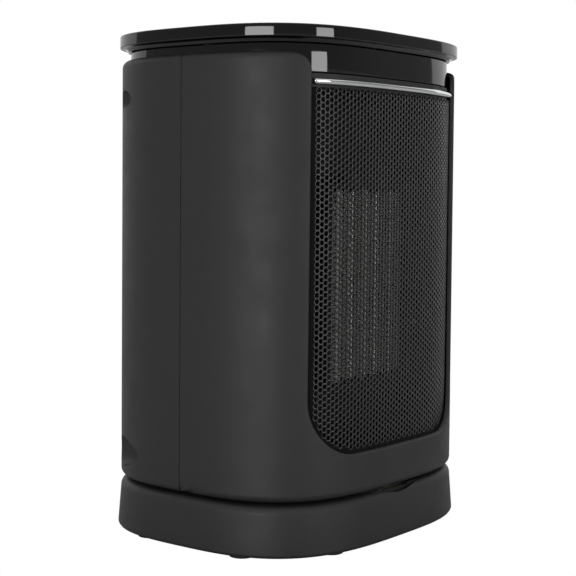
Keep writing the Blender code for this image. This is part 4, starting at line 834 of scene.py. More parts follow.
@dataclass
class Casing:
    """The two halves of the swinging casing, the screws that join them and their wells."""

    plan: Plan
    low: float
    high: float
    taper: float = 0.7 * MM
    wall: float = 2.4 * MM
    top_fillet: float = 4.0 * MM
    bottom_fillet: float = 3.6 * MM
    lip: float = 1.6 * MM
    seam_gap: float = 0.3 * MM
    seam_chamfer: float = 0.28 * MM
    window_high: float = 65.6 * MM
    window_low: float = 66.5 * MM
    window_bottom: float = 50.3 * MM
    window_corner: float = 28.0 * MM
    window_flare: float = 9.5 * MM
    window_edge: float = 1.2 * MM
    well_low_radius: float = 8.0 * MM
    well_high_radius: float = 4.8 * MM
    well_wall: float = 1.8 * MM
    well_floor: float = 25.0 * MM
    well_reach: float = 3.0 * MM
    well_skin: float = 0.8 * MM
    screw_hole: float = 1.8 * MM
    screw_lead: float = 8.0 * MM
    screw_sides: int = 64
    head_height: float = 2.2 * MM
    head_crown: float = 0.9 * MM
    cross_depth: float = 1.3 * MM
    cross_half: float = 0.42 * MM
    cross_reach: float = 1.75 * MM
    cross_slope: float = 0.24
    shank_radius: float = 1.5 * MM
    shank_point: float = 2.0 * MM
    point_radius: float = 0.2 * MM
    slot_height: float = 3.4 * MM
    slot_width: float = 44.0 * MM
    slot_pitch: float = 7.4 * MM
    slot_bridge: float = 5.0 * MM
    slot_depth: float = 14.0 * MM
    slot_rows: int = 13
    lower_steps: int = 10
    wall_steps: int = 14

    def build(self) -> None:
        """Makes and dresses every piece of the casing."""
        self.build_front()
        self.build_rear()
        self.build_screws()
        dress(INNER_PBT, "body_floor")
        dress(NYLON, "drive_gear")
        dress(ZINC_STEEL, "retaining_ring")

    def section(self) -> Section:
        """Draws the outer skin from the lip under the casing up the tapered wall to the shoulder.

        Returns:
            The upright profile.
        """
        lower = arc((self.taper - self.bottom_fillet, self.low + self.bottom_fillet),
                    self.bottom_fillet, -90, 0, self.lower_steps)
        upper = arc((-self.top_fillet, self.high - self.top_fillet), self.top_fillet, 0, 90, 12)
        start = np.array([[self.taper - self.bottom_fillet - self.lip, self.low]])
        return Section(np.concatenate([start, lower, upper]))

    def window_half(self, height: np.ndarray) -> np.ndarray:
        """Half the window's width: a drafted straight side, then a flare of one arc on top.

        Args:
            height: heights above the floor.

        Returns:
            The half width at each height.
        """
        flare_start = self.high - self.window_flare
        corner_top = self.window_bottom + self.window_corner
        share = (height - corner_top) / (flare_start - corner_top)
        side = self.window_low + (self.window_high - self.window_low) * np.clip(share, 0, 1)
        rise = np.clip(height - flare_start, 0, self.window_flare)
        return side + self.window_flare - np.sqrt(self.window_flare ** 2 - rise ** 2)

    def window_rays(self, rail: Rail, section: Section) -> tuple[np.ndarray, np.ndarray]:
        """Starts and ends of straight rays from the window's edge to the casing's edge.

        Both are (run along the plan, run along the section). On the pillars a ray lies
        level. Round a lower corner its end goes down the seam and then along the bottom
        edge in step with the corner's angle. Under the window it points straight down.

        Args:
            rail: the front half of the plan.
            section: the upright profile.

        Returns:
            The starts and the ends, from the left pillar's top to the right one's.
        """
        length = section.length
        heights = section.points[:, 1]
        end = rail.reach - self.seam_gap / 2
        corner_run = float(np.interp(self.window_bottom + self.window_corner, heights, length))
        shoulder_run = float(np.interp(self.high - self.window_flare, heights, length))
        runs = np.concatenate([np.linspace(length[-1], shoulder_run, 22),
                               np.linspace(shoulder_run, corner_run, 26)[1:]])
        offset, height = section.at(runs, np.zeros_like(runs))
        edge = np.array([-rail.run_at_x(half, moved)
                         for half, moved in zip(self.window_half(height), offset)])
        pillar = np.stack([edge, runs], axis=1), np.stack([np.full_like(runs, -end), runs], axis=1)

        turn = np.linspace(0, 1, 29)[1:]
        middle = self.window_low - self.window_corner
        bend = arc((-middle, self.window_bottom + self.window_corner), self.window_corner, 180, 270, 28)[1:]
        bend_run = -rail.run_at_x(-bend[:, 0], self.taper)
        inner = np.stack([bend_run, np.interp(bend[:, 1], heights, length)], axis=1)
        foot = float(bend_run[-1])
        outer = np.stack([-end + (foot + end) * np.clip(2 * turn - 1, 0, 1),
                          corner_run * np.clip(1 - 2 * turn, 0, 1)], axis=1)

        across = np.linspace(foot, 0.0, 16)[1:]
        sill = float(np.interp(self.window_bottom, heights, length))
        under = (np.stack([across, np.full_like(across, sill)], axis=1),
                 np.stack([across, np.zeros_like(across)], axis=1))
        starts = np.concatenate([pillar[0], inner, under[0]])
        ends = np.concatenate([pillar[1], outer, under[1]])
        mirror = np.array([-1.0, 1.0])
        return (np.concatenate([starts, (starts * mirror)[-2::-1]]),
                np.concatenate([ends, (ends * mirror)[-2::-1]]))

    def build_front(self) -> None:
        """Carries a wall section along the window's edge.

        On each ray the skin starts behind the edge, rolls round it by a quarter circle,
        runs to the casing's edge and ends in a small chamfer. The inner skin lies one
        wall under it, and the two ends at the shoulder are closed by rungs.
        """
        rail, section = self.plan.rail(True), self.section()
        starts, ends = self.window_rays(rail, section)
        span = np.linalg.norm(ends - starts, axis=1, keepdims=True)
        roll = arc((self.window_edge, 0.0), self.window_edge, 180, 90, 5)
        near = np.concatenate([[0.0], roll[:, 0]])
        near_depth = np.concatenate([[self.wall], self.window_edge - roll[:, 1]])
        share = np.concatenate([np.linspace(0, 0.7, 40)[1:], np.linspace(0.7, 1, 34)[1:]])
        body_length = span - self.window_edge - self.seam_chamfer
        distance = np.concatenate([np.repeat(near[None], len(span), axis=0),
                                   self.window_edge + share * body_length, span], axis=1)
        depth = np.concatenate([near_depth, np.zeros(len(share)), [self.seam_chamfer]])
        outer = self.skin(rail, section, starts, ends, distance / span, depth[None])
        inner = self.skin(rail, section, starts, ends, distance / span, np.full((1, len(depth)), self.wall))
        inner[:, 0] = (inner[:, 0] + inner[:, 1]) / 2
        loops = np.concatenate([outer, inner[:, ::-1]], axis=1)
        settle(make_object("front_casing", *laddered(loops)), "body", SHELL_ABS, "front_shell")

    def skin(self, rail: Rail, section: Section, starts: np.ndarray, ends: np.ndarray,
             share: np.ndarray, depth: np.ndarray) -> np.ndarray:
        """Points at a share of each ray, sunk by a depth.

        Args:
            rail: the front half of the plan.
            section: the upright profile.
            starts: where each ray starts, as (plan run, section run).
            ends: where it ends.
            share: rays by columns, from 0 to 1.
            depth: one depth for each column.

        Returns:
            Rays by columns by 3.
        """
        run = starts[:, :1] + (ends[:, :1] - starts[:, :1]) * share
        rise = starts[:, 1:] + (ends[:, 1:] - starts[:, 1:]) * share
        offset, height = section.at(rise, np.broadcast_to(depth, rise.shape))
        return np.concatenate([rail.at(run, offset), height[..., None]], axis=-1)

    def build_rear(self) -> None:
        """Carries the wall section round the rear half, then opens the wells and the inlet."""
        rail, section = self.plan.rail(False), self.section()
        end = rail.reach - self.seam_gap / 2
        inside = np.linspace(-end + self.seam_chamfer, end - self.seam_chamfer, 120)
        run = np.concatenate([[-end], inside, [end]])[:, None]
        chamfer = np.zeros_like(run)
        chamfer[[0, -1]] = self.seam_chamfer
        length, split = section.length, self.lower_steps + 2
        on_wall = np.linspace(length[split - 1], length[split], self.wall_steps)[1:-1]
        wall_runs = np.concatenate([length[:split], on_wall, length[split:]])[None, :]
        skins = []
        for depth in (chamfer, np.full_like(run, self.wall)):
            offset, height = section.at(np.repeat(wall_runs, len(run), axis=0),
                                        np.repeat(depth, wall_runs.shape[1], axis=1))
            flat = rail.at(np.repeat(run, wall_runs.shape[1], axis=1), offset)
            skins.append(np.concatenate([flat, height[..., None]], axis=-1))
        loops = np.concatenate([skins[0], skins[1][:, ::-1]], axis=1)
        shell = make_object("rear_casing", *laddered(loops))
        tubes, bores = [], []
        far = self.plan.half_depth + self.well_reach
        limit = self.plan.stack(np.array([[self.taper - self.well_skin, self.low],
                                          [-self.well_skin, self.high]]))
        middle_z = (self.low + self.high) / 2
        for place in self.well_places():
            radius = self.well_low_radius if place.z < middle_z else self.well_high_radius
            tube = np.array([[radius + self.well_wall, self.well_floor - self.wall],
                             [radius + self.well_wall, far]])
            tubes.append(turned(tube, place, Axis.BACK))
            mouth = np.array([[radius, self.well_floor], [radius, far]])
            hole = np.array([[self.screw_hole, self.well_floor - self.screw_lead], [self.screw_hole, far]])
            bores += [turned(mouth, place, Axis.BACK), turned(hole, place, Axis.BACK, 20)]
        cups = make_object("well_cups", *merged(tubes))
        carve(cups, Carving.LIMIT, capped(limit))
        joined = self.surface_of(cups)
        bpy.data.objects.remove(cups)
        carve(shell, Carving.ADD, joined)
        for bore in bores:
            carve(shell, Carving.REMOVE, bore)
        carve(shell, Carving.REMOVE, self.slots(), FINE_SHARP)
        settle(shell, "body", SHELL_ABS, "rear_shell")

    def surface_of(self, piece: bpy.types.Object) -> tuple[np.ndarray, Faces]:
        """Reads an object's vertices and faces back from its mesh.

        Args:
            piece: the object.

        Returns:
            The vertices and the faces.
        """
        points = np.empty(len(piece.data.vertices) * 3)
        piece.data.vertices.foreach_get("co", points)
        return points.reshape(-1, 3), [tuple(face.vertices) for face in piece.data.polygons]

    def well_places(self) -> list[Vector]:
        """Finds the axis of each well, which is its screw's.

        Returns:
            A place at y = 0 on each axis.
        """
        places = []
        for number in range(1, 5):
            low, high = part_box(f"shell_screw_{number}")
            places.append(Vector(((low.x + high.x) / 2, 0, (low.z + high.z) / 2)))
        return places

    def slots(self) -> tuple[np.ndarray, Faces]:
        """Lays two columns of level slots with round ends behind the fan.

        Returns:
            The vertices and the faces of all the slots' tools.
        """
        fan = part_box("fan_impeller")
        middle = (fan[0].z + fan[1].z) / 2
        radius = self.slot_height / 2
        cuts = []
        for row in range(self.slot_rows):
            height = middle + (row - (self.slot_rows - 1) / 2) * self.slot_pitch
            for side in (-1, 1):
                x = side * (self.slot_width + self.slot_bridge) / 2
                reach = self.slot_width / 2 - radius
                outline = np.concatenate([arc((x + reach, height), radius, -90, 90, 10),
                                          arc((x - reach, height), radius, 90, 270, 10)])
                cuts.append(pushed(outline, self.plan.half_depth - self.slot_depth,
                                   self.plan.half_depth + REACH))
        return merged(cuts)

    def build_screws(self) -> None:
        """Makes each screw's shank and pan head, with a cross recess sunk into the head.

        The head is a disc whose height over (r, a) is h - c (r / R) ** 4, a flat dome, less
        a pit. The pit is deep where the point lies in either arm of a cross.
        """
        sides = self.screw_sides
        angle = 2 * np.pi * np.arange(sides) / sides
        for number, place in enumerate(self.well_places(), 1):
            low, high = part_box(f"shell_screw_{number}")
            radius = (high.x - low.x) / 2
            seat = high.y - self.head_height
            rings = np.linspace(0.02, 1, 22)[:, None] * radius
            x, z = rings * np.cos(angle), rings * np.sin(angle)
            level = np.maximum(np.abs(x) / self.cross_reach, np.abs(z) / self.cross_half)
            upright = np.maximum(np.abs(x) / self.cross_half, np.abs(z) / self.cross_reach)
            share = (1 + self.cross_slope / 2 - np.minimum(level, upright)) / self.cross_slope
            dome = self.head_height - self.head_crown * (rings / radius) ** 4
            head = np.stack([x, seat + dome - self.cross_depth * np.clip(share, 0, 1), z], axis=-1)
            shank = np.array([[radius, seat], [self.shank_radius, seat],
                              [self.shank_radius, low.y + self.shank_point], [self.point_radius, low.y]])
            lower = np.stack([shank[:, :1] * np.cos(angle), np.repeat(shank[:, 1:], sides, axis=1),
                              shank[:, :1] * np.sin(angle)], axis=-1)
            rows = np.concatenate([head, lower]) + np.array(place)
            settle(make_object(f"casing_screw_{number}", *capped(rows), FINE_SHARP), "body",
                   ZINC_STEEL, f"shell_screw_{number}")


# ---------------------------------------------------------------- neck, lid and buttons


@dataclass
class Crown:
    """The gloss neck, the lid with its cove, and the four flush push buttons."""

    plan: Plan
    neck_inset: float = 4.3 * MM
    neck_wall: float = 2.0 * MM
    neck_round: float = 0.5 * MM
    neck_foot: float = 1.5 * MM
    shelf: float = 1.0 * MM
    overhang: float = 1.3 * MM
    band: float = 6.2 * MM
    band_round: float = 0.45 * MM
    soffit: float = 1.1 * MM
    cove: float = 2.0 * MM
    cove_radius: float = 2.1 * MM
    cove_out: float = 3.6 * MM
    cove_drop: float = 0.1 * MM
    seat_width: float = 1.3 * MM
    edge: float = 0.7 * MM
    edge_flat: float = 0.6 * MM
    lid_wall: float = 2.2 * MM
    button_dish: float = 0.45 * MM
    button_gap: float = 0.3 * MM
    button_round: float = 0.5 * MM
    button_flange: float = 1.4 * MM
    flange_thickness: float = 1.2 * MM
    stem_radius: float = 2.0 * MM
    stem_break: float = 0.3 * MM
    bore_chamfer: float = 0.35 * MM

    def build(self) -> None:
        """Makes and dresses every piece of the crown."""
        self.build_neck()
        self.build_lid()
        self.build_buttons()
        dress_board("lacquered_control_board", "control_board")

    def build_neck(self) -> None:
        """Sweeps the neck with its floor: the outer wall with two small round edges."""
        low, high = (corner.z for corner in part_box("neck_tray"))
        outer, inner = -self.neck_inset, -self.neck_inset - self.neck_wall
        floor = low + self.neck_wall
        edge = self.neck_round
        profile = np.concatenate([
            [[inner - self.shelf, floor], [inner, floor], [inner, high], [outer - edge, high]],
            arc((outer - edge, high - edge), edge, 90, 0, 4),
            arc((outer - edge, low + edge), edge, 0, -90, 4),
            [[outer - self.neck_foot, low]]])
        neck = make_object("gloss_neck", *capped(self.plan.stack(profile, 64)), FINE_SHARP)
        settle(neck, "body", GLOSS_ABS, "neck_tray")

    def build_lid(self) -> None:
        """Sweeps the lid: underside, cove, lip, upright band and a rounded upper edge."""
        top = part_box("top_lid")[1].z
        band_bottom = top - self.band
        seat = band_bottom - self.cove
        root = -self.neck_inset
        inner = root - self.neck_wall
        side, rim = self.overhang, self.bore_chamfer
        profile = np.concatenate([
            [[inner - self.shelf, top - self.lid_wall], [inner, top - self.lid_wall], [inner, seat],
             [root + self.seat_width, seat]],
            arc((root + self.cove_out, seat - self.cove_drop), self.cove_radius, 165, 100, 6),
            [[side - self.soffit, band_bottom]],
            arc((side - self.band_round, band_bottom + self.band_round), self.band_round, -90, 0, 4),
            arc((side - self.edge, top - self.edge), self.edge, 0, 90, 6),
            [[side - self.edge - self.edge_flat, top]]])
        lid = make_object("gloss_lid", *capped(self.plan.stack(profile, 64)), FINE_SHARP)
        for number in range(1, 5):
            centre, radius = self.button_place(number)
            bore = radius + self.button_gap
            hole = np.array([[bore, top - 2 * self.lid_wall], [bore, top - rim], [bore + rim, top],
                             [bore + rim + MM, top + MM]])
            carve(lid, Carving.REMOVE, turned(hole, centre, steps=64), FINE_SHARP)
        settle(lid, "body", GLOSS_ABS, "top_lid")

    def button_place(self, number: int) -> tuple[Vector, float]:
        """Finds a button's axis and the radius of its cap, which its flange goes round.

        Args:
            number: the button's number.

        Returns:
            A place on the axis at height 0, and the radius.
        """
        low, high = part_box(f"button_{number}")
        centre = Vector(((low.x + high.x) / 2, (low.y + high.y) / 2, 0))
        return centre, (high.x - low.x) / 2 - self.button_flange

    def build_buttons(self) -> None:
        """Turns each button: a dished cap, a flange under the lid and a stem."""
        names = ("power_button", "heat_button", "swing_button", "timer_button")
        lid_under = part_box("top_lid")[1].z - self.lid_wall
        for number, body in enumerate(names, 1):
            centre, radius = self.button_place(number)
            low, high = (corner.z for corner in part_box(f"button_{number}"))
            r = np.linspace(0.03, 0.86, 12) * radius
            dish = np.stack([r, high - self.button_dish * (1 - (r / r[-1]) ** 2)], axis=1)
            edge = arc((radius - self.button_round, high - self.button_round), self.button_round,
                       90, 0, 5)
            flange, stem = radius + self.button_flange, self.stem_radius
            flange_top = lid_under - self.button_gap
            flange_low = flange_top - self.flange_thickness
            skirt = np.array([[radius, flange_top], [flange, flange_top], [flange, flange_low],
                              [stem, flange_low], [stem, low + self.stem_break],
                              [stem - self.stem_break, low]])
            cap = turned(np.concatenate([dish, edge, skirt]), centre, steps=64)
            settle(make_object(f"push_button_{number}", *cap, FINE_SHARP), body, GLOSS_ABS,
                   f"button_{number}")


# ---------------------------------------------------------------- outlet


@dataclass
class Outlet:
    """The perforated sheet behind the window, its frame and the bright strip above it."""

    casing: Casing
    pitch: float = 3.0 * MM
    hole_radius: float = 1.15 * MM
    hole_sides: int = 12
    columns: int = 33
    top_margin: float = 0.25 * MM
    border: float = 2.0 * MM
    tuck: float = 3.0 * MM
    stray: float = 0.35
    weld: float = 0.01 * MM
    behind: float = 0.3 * MM
    sheet: float = 0.8 * MM
    sheet_sharp: float = 100.0
    trim_half: float = 64.4 * MM
    trim_back: float = 3.5 * MM
    trim_proud: float = 2.3 * MM
    trim_sections: int = 120
    trim_sides: int = 16
    trim_sharp: float = 60.0

    def build(self) -> None:
        """Makes and dresses every piece of the outlet."""
        self.build_sheet()
        self.build_strip()
        dress(INNER_PBT, "grille_frame")

    def inside_window(self, x: np.ndarray, z: np.ndarray, grow: float,
                      top: float) -> tuple[np.ndarray, np.ndarray]:
        """Moves points that lie outside the window, grown by a margin, onto its outline.

        Above the lower corners x is limited by the window's half width. Beside a corner's
        centre the distance from it is limited by the corner's radius. Under the corners
        z is limited by the sill.

        Args:
            x: the points' places across.
            z: their heights.
            grow: how far the outline lies outside the window, or inside it if negative.
            top: the height that no point passes.

        Returns:
            The new x and z.
        """
        casing = self.casing
        half = casing.window_half(np.minimum(z, casing.high - casing.window_flare)) + grow
        middle_x = casing.window_low - casing.window_corner
        middle_z = casing.window_bottom + casing.window_corner
        radius = casing.window_corner + grow
        new_x = np.where(z >= middle_z, np.clip(x, -half, half), x)
        new_z = np.minimum(z, top)
        beside = np.abs(x) - middle_x
        below = middle_z - z
        distance = np.maximum(np.hypot(beside, below), 1e-9)
        shrink = np.minimum(1.0, radius / distance)
        round_it = (below > 0) & (beside > 0)
        new_x = np.where(round_it, np.sign(x) * (middle_x + beside * shrink), new_x)
        new_z = np.where(round_it, middle_z - below * shrink, new_z)
        flat_part = (below > 0) & (beside <= 0)
        new_z = np.where(flat_part, np.maximum(new_z, casing.window_bottom - grow), new_z)
        return new_x, new_z

    def cell_centres(self, rail: Rail, top: float, bottom: float) -> tuple[np.ndarray, ...]:
        """Lays hexagonal cells over the window and keeps those that lie near it.

        The centres are at (1.5 side i, pitch (j + odd(i) / 2)), where the side is the
        pitch over root three.

        Args:
            rail: the front half of the plan.
            top: the height of the sheet's upper edge.
            bottom: the height of its lower edge.

        Returns:
            Each centre's run along the plan, its height, and whether its cell has a hole.
        """
        side = self.pitch / math.sqrt(3)
        rows = int((top - bottom) / self.pitch) + 3
        i, j = np.meshgrid(np.arange(-self.columns, self.columns + 1), np.arange(-1, rows), indexing="ij")
        run = (1.5 * side * i).ravel()
        first = top - self.hole_radius - self.top_margin
        z = (first - self.pitch * (j + 0.5 * (i % 2))).ravel()
        x = rail.x_at_run(run)
        moved_x, moved_z = self.inside_window(x, z, self.tuck, top)
        kept = np.hypot(moved_x - x, moved_z - z) < self.stray * self.pitch
        run, x, z = run[kept], x[kept], z[kept]
        inset = -(self.border + self.hole_radius)
        held_x, held_z = self.inside_window(x, z, inset, top - self.hole_radius)
        return run, z, (held_x == x) & (held_z == z)

    def sheet_faces(self, corners: np.ndarray, circles: np.ndarray, opened: np.ndarray,
                    count: int) -> tuple[Faces, Faces, Faces]:
        """Joins the cells' corners to the holes' rims, and one skin to the other.

        Args:
            corners: six vertex numbers for each cell.
            circles: the vertex numbers round each hole.
            opened: whether each cell has a hole.
            count: how many vertices one skin has.

        Returns:
            The faces round the holes, the margin's faces, and the walls between the skins.
        """
        k = np.arange(6)
        own, solid = corners[opened], corners[~opened]
        a0, a1, a2 = circles[:, 2 * k], circles[:, 2 * k + 1], circles[:, (2 * k + 2) % self.hole_sides]
        triangles = np.stack([own, a1, a0], axis=-1).reshape(-1, 3)
        quads = np.stack([own, np.roll(own, -1, axis=1), a2, a1], axis=-1).reshape(-1, 4)
        onward = np.roll(circles, -1, axis=1)
        bores = np.stack([circles, onward, onward + count, circles + count], axis=-1).reshape(-1, 4)
        edges = np.stack([corners, np.roll(corners, -1, axis=1)], axis=-1).reshape(-1, 2)
        _, first_at, times = np.unique(np.sort(edges, axis=1), axis=0, return_index=True, return_counts=True)
        rim = edges[first_at[times == 1]]
        rim_walls = np.stack([rim[:, 1], rim[:, 0], rim[:, 0] + count, rim[:, 1] + count], axis=1)

        def both_skins(front: np.ndarray) -> Faces:
            """The same faces on the front skin and, turned round, on the back one."""
            return [tuple(face) for face in front.tolist() + (front[:, ::-1] + count).tolist()]

        walls = [tuple(face) for face in bores.tolist() + rim_walls.tolist()]
        return both_skins(triangles) + both_skins(quads), both_skins(solid), walls

    def build_sheet(self) -> None:
        """Makes the perforated sheet: a flat pattern of cells wrapped round the plan outline.

        Every inner cell has a round hole. The cells without a hole are the sheet's margin
        and get a matt enamel whose darker tone is painted shade from the window's lip.
        """
        rail = self.casing.plan.rail(True)
        low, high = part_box("front_grille")
        centre_run, centre_z, opened = self.cell_centres(rail, high.z, low.z)
        side = self.pitch / math.sqrt(3)
        angle = np.radians(60 * np.arange(6))
        corner_run = (centre_run[:, None] + side * np.cos(angle)).ravel()
        corner_z = (centre_z[:, None] + side * np.sin(angle)).ravel()
        keys = np.round(np.stack([corner_run, corner_z], axis=1) / self.weld).astype(int)
        _, pick, number = np.unique(keys, axis=0, return_index=True, return_inverse=True)
        flat_x, flat_z = self.inside_window(rail.x_at_run(corner_run[pick]), corner_z[pick],
                                            self.tuck, high.z)
        ring = np.radians(360 / self.hole_sides * np.arange(self.hole_sides))
        ring_run = (centre_run[opened][:, None] + self.hole_radius * np.cos(ring)).ravel()
        ring_z = (centre_z[opened][:, None] + self.hole_radius * np.sin(ring)).ravel()
        all_run = np.concatenate([rail.run_at_x(flat_x), ring_run])
        all_z = np.concatenate([flat_z, ring_z])
        circles = len(flat_x) + np.arange(len(ring_run)).reshape(-1, self.hole_sides)
        web, margin, walls = self.sheet_faces(number.reshape(-1, 6), circles, opened, len(all_run))
        face_offset = -self.casing.wall - self.behind
        skins = [np.column_stack([rail.at(all_run, np.full(len(all_run), offset)), all_z])
                 for offset in (face_offset, face_offset - self.sheet)]
        sheet = make_object("perforated_sheet", np.concatenate(skins), web + margin + walls,
                            self.sheet_sharp)
        settle(sheet, "body", ENAMEL, "front_grille")
        # The margin's faces take the second material: matt enamel darkened to paint the lip's shade.
        sheet.data.materials.append(SHADE_PAINTED_ENAMEL.material())
        shade_painted_index = np.zeros(len(sheet.data.polygons), dtype=np.int32)
        shade_painted_index[len(web):len(web) + len(margin)] = 1
        sheet.data.polygons.foreach_set("material_index", shade_painted_index)

    def build_strip(self) -> None:
        """Carries a half round along the plan outline and shrinks it to a point at both ends.

        With d the distance past the last full section, the half height is the root of
        h^2 - d^2, as on a ball, and the height off the frame shrinks in step.
        """
        rail = self.casing.plan.rail(True)
        low, high = (corner.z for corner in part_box("chrome_strip"))
        middle, half = (low + high) / 2, (high - low) / 2
        back, proud = -self.trim_back, self.trim_proud
        end = float(rail.run_at_x(np.array(self.trim_half)))
        bend = np.radians(np.linspace(90, 3, 12))
        tips = end - half + half * np.cos(bend)
        straight = np.linspace(-end + half, end - half, self.trim_sections)[1:-1]
        run = np.concatenate([-tips[::-1], straight, tips])
        past = np.clip(np.abs(run) - (end - half), 0, half * 0.999)
        share = np.sqrt(1 - (past / half) ** 2)[:, None]
        angle = np.radians(np.linspace(-90, 90, self.trim_sides + 1))[None, :]
        offset = np.concatenate([back + proud * share * np.cos(angle), np.full_like(share, back)], axis=1)
        height = np.concatenate([middle + half * share * np.sin(angle), np.full_like(share, middle)], axis=1)
        flat = rail.at(np.repeat(run[:, None], offset.shape[1], axis=1), offset)
        rows = np.concatenate([flat, height[..., None]], axis=-1)
        trim = make_object("chrome_trim", *capped(rows), self.trim_sharp)
        settle(trim, "body", CHROME, "chrome_strip")


# ---------------------------------------------------------------- heater and fan


@dataclass
class Heater:
    """Three ceramic heating bars between six folded fin packs, in their duct."""

    fold_pitch: float = 2.2 * MM
    foil: float = 0.22 * MM
    plate: float = 0.7 * MM
    clearance: float = 0.6
    press: float = 2.2
    samples: int = 10
    nose_steps: int = 8

    def build(self) -> None:
        """Makes and dresses every piece of the heater."""
        for number in range(1, 7):
            self.build_pack(number)
        dress(DRAWN_ALUMINIUM, "heating_bar_1", "heating_bar_2", "heating_bar_3")
        dress(INNER_PBT, "heater_frame", "thermal_cutout")

    def side_plate(self, outer: float, inner: float, low: Vector, high: Vector) -> np.ndarray:
        """A thin upright plate whose front edge is a half round, as a sheared edge rolled over.

        Args:
            outer: the x of the plate's outer face.
            inner: the x of its inner face.
            low: the lower corner of the fin pack's box.
            high: its upper corner.

        Returns:
            Two loops, at its foot and its head.
        """
        turn = np.radians(np.linspace(0, 180, self.nose_steps + 1))
        round_x = (outer + inner) / 2 + (outer - inner) / 2 * np.cos(turn)
        round_y = low.y + self.plate / 2 * (1 - np.sin(turn))
        plan_x = np.concatenate([[outer], round_x, [inner]])
        plan_y = np.concatenate([[high.y], round_y, [high.y]])
        return np.stack([np.column_stack([plan_x, plan_y, np.full(len(plan_x), level)])
                         for level in (low.z, high.z)])

    def folded_foil(self, side: float, other: float, low: Vector, high: Vector) -> np.ndarray:
        """A foil that waves from side to side on its way up.

        Its middle line is x = c + A w(z), where w is a sine pressed by tanh towards its
        crests, and both faces lie half a thickness off it along its normal.

        Args:
            side: the x that its waves reach on one side.
            other: the x that they reach on the other side.
            low: the lower corner of the fin pack's box.
            high: its upper corner.

        Returns:
            Two loops, at its front and its back.
        """
        folds = int((high.z - low.z) / self.fold_pitch)
        z = np.linspace(low.z + self.foil, high.z - self.foil, folds * self.samples + 1)
        wave = np.sin(2 * np.pi * (z - z[0]) / (z[-1] - z[0]) * folds)
        pressed = np.tanh(self.press * wave) / math.tanh(self.press)
        centre, reach = (side + other) / 2, abs(other - side) / 2 - self.clearance * self.foil
        line = np.stack([centre + reach * pressed, z], axis=1)
        slope = np.gradient(line, axis=0)
        normal = np.stack([slope[:, 1], -slope[:, 0]], axis=1)
        normal *= self.foil / 2 / np.linalg.norm(normal, axis=1, keepdims=True)
        strip = np.concatenate([line + normal, (line - normal)[::-1]])
        strip[:, 1] = np.clip(strip[:, 1], low.z, high.z)
        return np.stack([np.column_stack([strip[:, 0], np.full(len(strip), y), strip[:, 1]])
                         for y in (low.y, high.y)])

    def build_pack(self, number: int) -> None:
        """Makes one side plate and the foil that waves between it and the heating bar.

        Args:
            number: the fin pack's number.
        """
        low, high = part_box(f"fin_pack_{number}")
        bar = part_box(f"heating_bar_{(number + 1) // 2}")
        outward = 1 if (low.x + high.x) / 2 > (bar[0].x + bar[1].x) / 2 else -1
        outer, inner = (high.x, low.x) if outward > 0 else (low.x, high.x)
        plate_in = outer - outward * self.plate
        pieces = [capped(self.side_plate(outer, plate_in, low, high)),
                  laddered(self.folded_foil(inner, plate_in, low, high))]
        pack = make_object(f"fin_stack_{number}", *merged(pieces))
        settle(pack, "body", FIN_FOIL, f"fin_pack_{number}")


@dataclass
class Blower:
    """The fan, its shaded-pole motor and the mains board behind the heater."""

    def build(self) -> None:
        """Dresses every piece of the blower."""
        dress(INNER_PBT, "fan_shroud", "fan_impeller")
        dress(ZINC_STEEL, "fan_shaft", "motor_rotor", "motor_stator")
        dress(WINDING, "motor_coil")
        dress(DRAWN_ALUMINIUM, "motor_bracket_front", "motor_bracket_rear")
        dress(BRONZE, "bush_front", "bush_rear")
        dress_board("lacquered_power_board", "power_board")


# ---------------------------------------------------------------- studio


@dataclass(frozen=True)
class SoftBox:
    """One soft box, aimed at the object's middle.

    Its azimuth is in degrees from +X towards +Y, its power in watts, and its middle is
    the height of its centre above the floor.
    """

    name: str
    azimuth: float
    width: float
    power: float
    height: float = 1.05
    distance: float = 2.0
    middle: float = 0.075
    aim: float = 0.15

    def hang(self) -> None:
        """Makes the box and turns it towards the object."""
        light = bpy.data.lights.new(self.name, "AREA")
        light.shape = "RECTANGLE"
        light.size, light.size_y = self.width, self.height
        light.energy = self.power
        box = bpy.data.objects.new(self.name, light)
        angle = math.radians(self.azimuth)
        box.location = (self.distance * math.cos(angle), self.distance * math.sin(angle), self.middle)
        towards = Vector((0, 0, self.aim)) - box.location
        box.rotation_euler = towards.to_track_quat("-Z", "Y").to_euler()
        bpy.context.scene.collection.objects.link(box)


